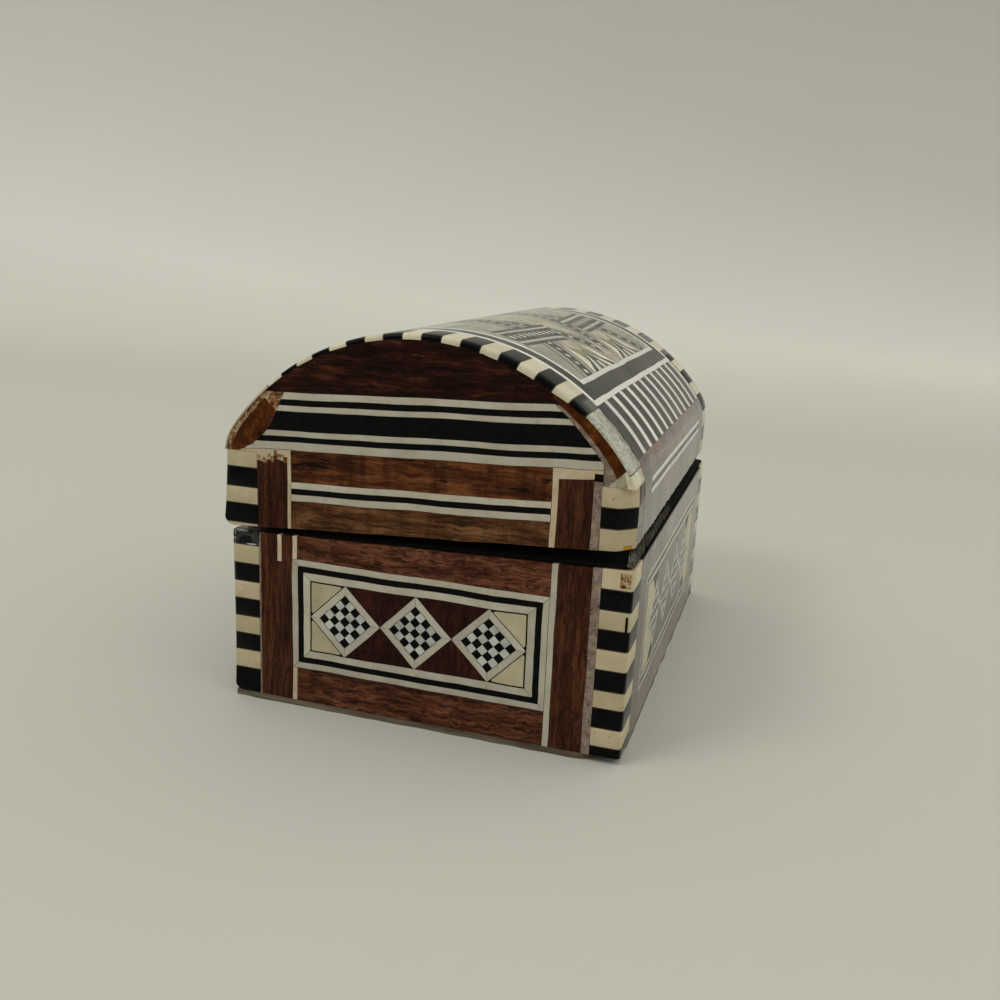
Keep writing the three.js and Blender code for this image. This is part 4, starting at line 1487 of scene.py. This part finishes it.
def addEdging(side, sign):
    u0, u1 = postStart * sign, halfLength * sign
    reach = wallArc(lidEnd["backPost"]) - 0.05
    piece = startBlock("edging", (min(u0, u1), -reach, -sheetDepth), (max(u0, u1), edging["frontEnd"], 0))
    selectEdges(piece, lambda a, b: abs(a.y - b.y) > 1 and abs(a.x - u1) < 0.01 and abs(a.z) < 0.01)
    bpy.ops.mesh.bevel(offset=0.8, segments=4, profile=0.5)
    selectEdges(piece, lambda a, b: abs(a.y - b.y) > 1 and abs(a.x - u0) < 0.01)
    bpy.ops.mesh.bevel(offset=0.07, segments=1)
    stops = [edging["block"] * k for k in range(-13, 13)]
    resin = side == "left"
    if resin:
        begin, end = edging["resin"]
        stops = [stop for stop in stops if -begin < stop < begin] + [end]
    bpy.ops.mesh.select_mode(type="FACE")
    sliceAll(1, stops)
    selectEdges(piece, lambda a, b: abs(a.y - b.y) < 0.001 and any(abs(a.y - s) < 0.002 for s in stops))
    bpy.ops.mesh.bevel(offset=0.09, segments=2, profile=0.5)
    kinds = []
    for k in range(len(stops) + 1):
        middle = (stops[k] - 1 if k < len(stops) else stops[-1] + 1)
        kinds.append("ebony" if middle % (2 * edging["block"]) < edging["block"] else "boneEdge")
        if resin and abs(middle) > 27:
            kinds[-1] = {0: "stained", len(stops) - 1: "resin", len(stops): "boneEdge"}.get(k, kinds[-1])
    labelBlocks(piece, 1, stops, kinds, 0.04, Vector(((u0 + u1) / 2, 0, -0.6)))
    bends = [k * 0.66 + 0.02 for k in range(-64, 65)]
    sliceAll(1, [bend for bend in bends if abs(bend) < reach])
    bpy.ops.object.mode_set(mode="OBJECT")
    if resin:
        for vert in piece.data.vertices:
            if abs(vert.co.y) > 28.1:
                u, s, _ = vert.co
                lump = (abs(noise.noise((u * 0.5, s * 0.5, 2.0)))
                        + 0.5 * abs(noise.noise((u * 1.3, s * 1.3, 7.0))))
                share = min(1, abs(vert.co.y) - 28.1)
                if vert.co.z > -0.9:
                    vert.co.z -= 0.34 * lump * share
                if vert.co.x < -41 and vert.co.y > 0:
                    vert.co.x += 0.25 * lump * share
    carry(piece, lambda u, v, w: (u, *vaultPoint(v, w * edgingDepth(v) / sheetDepth)), None)
    return finishPiece(piece, f"lid{side.title()}Edging", "lid", [f"lid_{side}_edging"], 32)


def addBottomBoard():
    clearSelection()
    bpy.ops.mesh.primitive_grid_add(x_subdivisions=66, y_subdivisions=50, size=1)
    piece = bpy.context.object
    piece.scale = (2 * halfLength, 2 * halfDepth, 1)
    bpy.ops.object.transform_apply(location=True, rotation=False, scale=True)
    piece.data.materials.append(mats["plywood"])
    piece.location.z = plyTop
    bpy.ops.object.transform_apply(location=True, rotation=False, scale=False)
    thicken(piece, plyTop)
    worn = 1.4
    for vert in piece.data.vertices:
        x, y, z = vert.co
        fromEnd, fromFront = halfLength - abs(x), halfDepth - abs(y)
        edge = min(fromEnd, fromFront)
        corner = max(0, 1 - math.hypot(fromEnd, fromFront) / 4)
        if edge < worn:
            pull = 0.12 + 0.22 * noise.noise((x * 0.35, y * 0.35, z * 0.8))
            pull += 0.9 * corner * abs(noise.noise((x, y, 8 + z)))
            pull = max(0, pull) * (1 - edge / worn)
            if fromEnd < worn:
                x -= math.copysign(pull, x)
            if fromFront < worn:
                y -= math.copysign(pull, y)
        # the front left corner is broken off
        lost = 6.2 + 0.9 * noise.noise((x * 0.9, y * 0.9, z)) - (x + halfLength) - (y + halfDepth)
        if lost > 0:
            x, y = x + lost * 0.5, y + lost * 0.5
        vert.co = (x * mm, y * mm, z * mm)
    return finishPiece(piece, "baseFloorPly", "base", ["base_floor_board"], 40)


# a place on a rectangle with round corners, a share of the way round it
def roundedPoint(box, radius, share):
    x0, y0, x1, y1 = box
    sides = [x1 - x0 - 2 * radius, y1 - y0 - 2 * radius]
    quarter = math.pi / 2 * radius
    path = share * 2 * (sides[0] + sides[1] + 2 * quarter)
    left, right, low, high = x0 + radius, x1 - radius, y0 + radius, y1 - radius
    middles = [(right, low), (right, high), (left, high), (left, low)]
    starts = [(left, y0), (x1, low), (right, y1), (x0, high)]
    steps = [(1, 0), (0, 1), (-1, 0), (0, -1)]
    for k in range(4):
        run = sides[k % 2]
        if path <= run:
            return starts[k][0] + steps[k][0] * path, starts[k][1] + steps[k][1] * path
        path -= run
        if path <= quarter:
            turn = math.radians(90 * k - 90) + path / radius
            return middles[k][0] + radius * math.cos(turn), middles[k][1] + radius * math.sin(turn)
        path -= quarter
    return starts[0]


# rings of the base lining, from the middle of the floor over the lip to the flange and
# back in under it: box, corner radius, what the height is counted from, and the height
liningRings = [
    ((-10, -4, 10, 4), 2, None, 4.5), ((-24, -14, 24, 14), 3, None, 4.6),
    ((-31, -20.5, 31, 20.5), 3, None, 4.45), ((-34, -23, 34, 23), 2.2, None, 4.35),
    ((-34.9, -23.9, 34.9, 23.9), 1.6, None, 5.2), ((-34.95, -23.95, 34.95, 23.95), 1.5, None, 11),
    ((-34.9, -23.9, 34.9, 23.9), 1.5, None, 18), ((-34.95, -23.95, 34.95, 23.95), 1.5, None, 25),
    ((-35.0, -24.0, 35.0, 24.0), 1.5, lipAt, -0.5), ((-35.3, -24.3, 35.3, 24.3), 1.6, lipAt, -0.1),
    ((-35.7, -24.7, 35.7, 24.7), 1.7, lipAt, -0.05), ((-36.05, -25.05, 36.05, 25.05), 1.8, lipAt, -0.4),
    ((-36.2, -25.2, 36.2, 25.2), 1.8, rimAt, 0.9), ((-36.6, -25.6, 36.6, 25.2), 1.8, rimAt, 0.6),
    ((-39, -28, 39, 25.2), 1.8, rimAt, 0.58), ((-43.1, -32.4, 43.1, 25.2), 1.2, rimAt, 0.55),
    ((-43.5, -32.7, 43.5, 25.2), 1.2, rimAt, 0.35), ((-43.3, -32.5, 43.3, 25.2), 1.2, rimAt, 0.12),
    ((-37, -26, 37, 25.2), 1.2, rimAt, 0.12), ((-36.75, -25.75, 36.75, 25.7), 1.0, rimAt, -0.6),
    ((-36.75, -25.75, 36.75, 25.75), 1.0, None, 10), ((-36.6, -25.6, 36.6, 25.6), 1.0, None, 3.2),
    ((-20, -12, 20, 12), 3, None, 3.12),
]


# loose velvet threads in the front gap: one bent hair, copied
fuzz = {"count": 340, "long": 2.4, "thick": 0.05, "tip": 0.012}


def addFuzz():
    clearSelection()
    bpy.ops.mesh.primitive_cone_add(vertices=3, radius1=fuzz["thick"], radius2=fuzz["tip"], depth=fuzz["long"],
                                    location=(0, 0, fuzz["long"] / 2))
    hair = bpy.context.object
    bpy.ops.object.transform_apply(location=True, rotation=False, scale=False)
    editFaces(hair)
    for z in (0.5, 1.0, 1.5, 2.0):
        bpy.ops.mesh.select_all(action="SELECT")
        bpy.ops.mesh.bisect(plane_co=(0, 0, z), plane_no=(0, 0, 1))
    bpy.ops.object.mode_set(mode="OBJECT")
    hair.data.materials.append(mats["fuzz"])
    dice = random.Random(11)
    threads = []
    for k in range(fuzz["count"]):
        thread = hair if k == 0 else hair.copy()
        if k:
            thread.data = hair.data.copy()
            bpy.context.collection.objects.link(thread)
        threads.append(thread)
    for thread in threads:
        x, y = -43.3 + 36 * dice.random() ** 2, -32.7 + 0.9 * dice.random()
        long, lean, curl = dice.uniform(0.35, 1.0), dice.uniform(-1.25, 1.25), dice.uniform(-0.2, 0.2)
        for vert in thread.data.vertices:
            away, up = vert.co.x + curl * vert.co.z ** 2, vert.co.z * long
            across = away * math.cos(lean) + up * math.sin(lean)
            rise = up * math.cos(lean) - away * math.sin(lean)
            z = min(rimAt(y) + 0.45 + abs(rise), lidEdgeAt(y) - 0.25)
            vert.co = (max(-43.8, x + across) * mm, (y + vert.co.y) * mm, z * mm)
    clearSelection()
    for thread in threads:
        thread.select_set(True)
    bpy.context.view_layer.objects.active = hair
    bpy.ops.object.join()
    return finishPiece(hair, "baseVelvetFuzz", "base", [], 60)


def addBaseLining(threads):
    clearSelection()
    around, rings = 180, len(liningRings)
    bpy.ops.mesh.primitive_grid_add(x_subdivisions=around, y_subdivisions=rings - 1, size=1)
    piece = bpy.context.object
    for vert in piece.data.vertices:
        share = vert.co.x + 0.5
        box, radius, above, height = liningRings[round((vert.co.y + 0.5) * (rings - 1))]
        x, y = roundedPoint(box, radius, share)
        z = height + (above(y) if above else 0)
        if 4 < z < 6:
            z += 0.16 * noise.noise((x * 0.22, y * 0.22, 0.4 + z * 0.18))
        vert.co = (x * mm, y * mm, z * mm)
    piece.data.materials.append(mats["velvet"])
    editFaces(piece)
    bpy.ops.mesh.select_all(action="SELECT")
    bpy.ops.mesh.remove_doubles(threshold=0.00002)
    bpy.ops.mesh.select_all(action="DESELECT")
    bpy.ops.mesh.select_mode(type="EDGE")
    bpy.ops.mesh.select_non_manifold()
    bpy.ops.mesh.edge_face_add()
    bpy.ops.object.mode_set(mode="OBJECT")
    clearSelection()
    bpy.context.view_layer.objects.active = piece
    finishPiece(piece, "baseVelvet", "base", ["base_liner"], 50)
    return piece


def thickenIn(piece, thickness):
    clearSelection()
    bpy.context.view_layer.objects.active = piece
    piece.select_set(True)
    bpy.ops.object.mode_set(mode="EDIT")
    bpy.ops.mesh.select_all(action="SELECT")
    bpy.ops.mesh.normals_make_consistent(inside=False)
    bpy.ops.object.mode_set(mode="OBJECT")
    bpy.ops.object.modifier_add(type="SOLIDIFY")
    solid = piece.modifiers[-1]
    solid.use_even_offset = True
    solid.thickness = thickness * mm
    solid.offset = -1
    bpy.ops.object.modifier_apply(modifier=solid.name)


# the lid lining: a soft-edged shell that follows the vault from inside
def addLidLining():
    piece = startBlock("lidVelvet", (-36.7, -25.2, 30), (36.7, 27.2, 60))
    bpy.ops.mesh.select_all(action="SELECT")
    bpy.ops.mesh.subdivide(number_cuts=31)
    bpy.ops.mesh.select_all(action="DESELECT")
    mesh = bmesh.from_edit_mesh(piece.data)
    bmesh.ops.delete(mesh, geom=[face for face in mesh.faces if face.calc_center_median().z < 30.01],
                     context="FACES")
    bmesh.update_edit_mesh(piece.data)
    bpy.ops.object.mode_set(mode="OBJECT")
    names = list(mats)
    for vert in piece.data.vertices:
        x, y, z = vert.co
        share = (z - 30) / 30
        inset = 4.45 + 0.08 * noise.noise((x * 0.2, y * 0.2, 6))
        top = max(40, outlineAt(y, inset))
        low = lipAt(y) + 0.36
        vert.co = (x * mm, y * mm, (low + (top - low) * share) * mm)
    for face in piece.data.polygons:
        face.material_index = names.index("velvet")
    thickenIn(piece, 1.1)
    finishPiece(piece, "lidVelvet", "lid", ["lid_liner"], 60)
    return piece


def addStage():
    clearSelection()
    bpy.ops.mesh.primitive_plane_add(size=2.4)
    floor = bpy.context.object
    floor.name = "floorSweep"
    bpy.ops.object.mode_set(mode="EDIT")
    selectEdges(floor, lambda a, b: a.x > 1 and b.x > 1)
    bpy.ops.mesh.extrude_region_move(TRANSFORM_OT_translate={"value": (0, 0, 1.6)})
    selectEdges(floor, lambda a, b: a.x > 1 and b.x > 1 and a.z < 0.1 and b.z < 0.1)
    bpy.ops.mesh.bevel(offset=0.7, segments=24)
    bpy.ops.mesh.select_all(action="SELECT")
    bpy.ops.transform.rotate(value=math.radians(-16.8), orient_axis="Z", center_override=(0, 0, 0))
    bpy.ops.mesh.normals_make_consistent(inside=False)
    bpy.ops.object.mode_set(mode="OBJECT")
    bpy.ops.object.shade_smooth()
    floor.data.materials.append(paper("floorPaper"))

    bpy.ops.object.light_add(type="AREA", location=(-0.72, 0.7, 1.15))
    window = bpy.context.object
    window.name = "windowLight"
    window.data.shape = "RECTANGLE"
    window.data.size = 0.55
    window.data.size_y = 0.4
    window.data.energy = 4
    window.data.color = (1.0, 0.985, 0.96)
    window.rotation_euler = (Vector((0.2, -0.05, 0)) - window.location).to_track_quat("-Z", "Y").to_euler()

    # a pale room, brightest above and in front of the box and dim behind the camera
    world = bpy.data.worlds.new("studio")
    bpy.context.scene.world = world
    world.use_nodes = True
    tree = world.node_tree
    toward = put(tree, "TexCoord").outputs["Generated"]
    share = put(tree, "VectorMath", {0: toward, 1: (0.42, -0.22, 0.8)},
                operation="DOT_PRODUCT").outputs["Value"]
    back = tree.nodes["Background"]
    back.inputs["Color"].default_value = tint((250, 250, 243))
    tree.links.new(grey(tree, share, -0.15, 0.68, 0.14, 1.0), back.inputs["Strength"])


addCamera(cameraView)
addStage()
print("stage ready")

for side, plan in baseSides.items():
    addBaseSide(side, plan)
for name, plan in posts.items():
    addPost(name, plan)
addBottomBoard()
addBaseLining(addFuzz())
print("base ready")

addVaultVeneers()
addLidEnd("left", -1)
addLidEnd("right", 1)
addEdging("left", -1)
addEdging("right", 1)
addLidLining()
print("lid ready")


# the boards and hinges keep their CAD shape
for name, node in frame["nodes"].items():
    if node.hide_render:
        continue
    node.data.materials.clear()
    node.data.materials.append(mats["brass" if name.startswith("hinge") else "carcass"])

bpy.context.scene.view_settings.view_transform = "Standard"
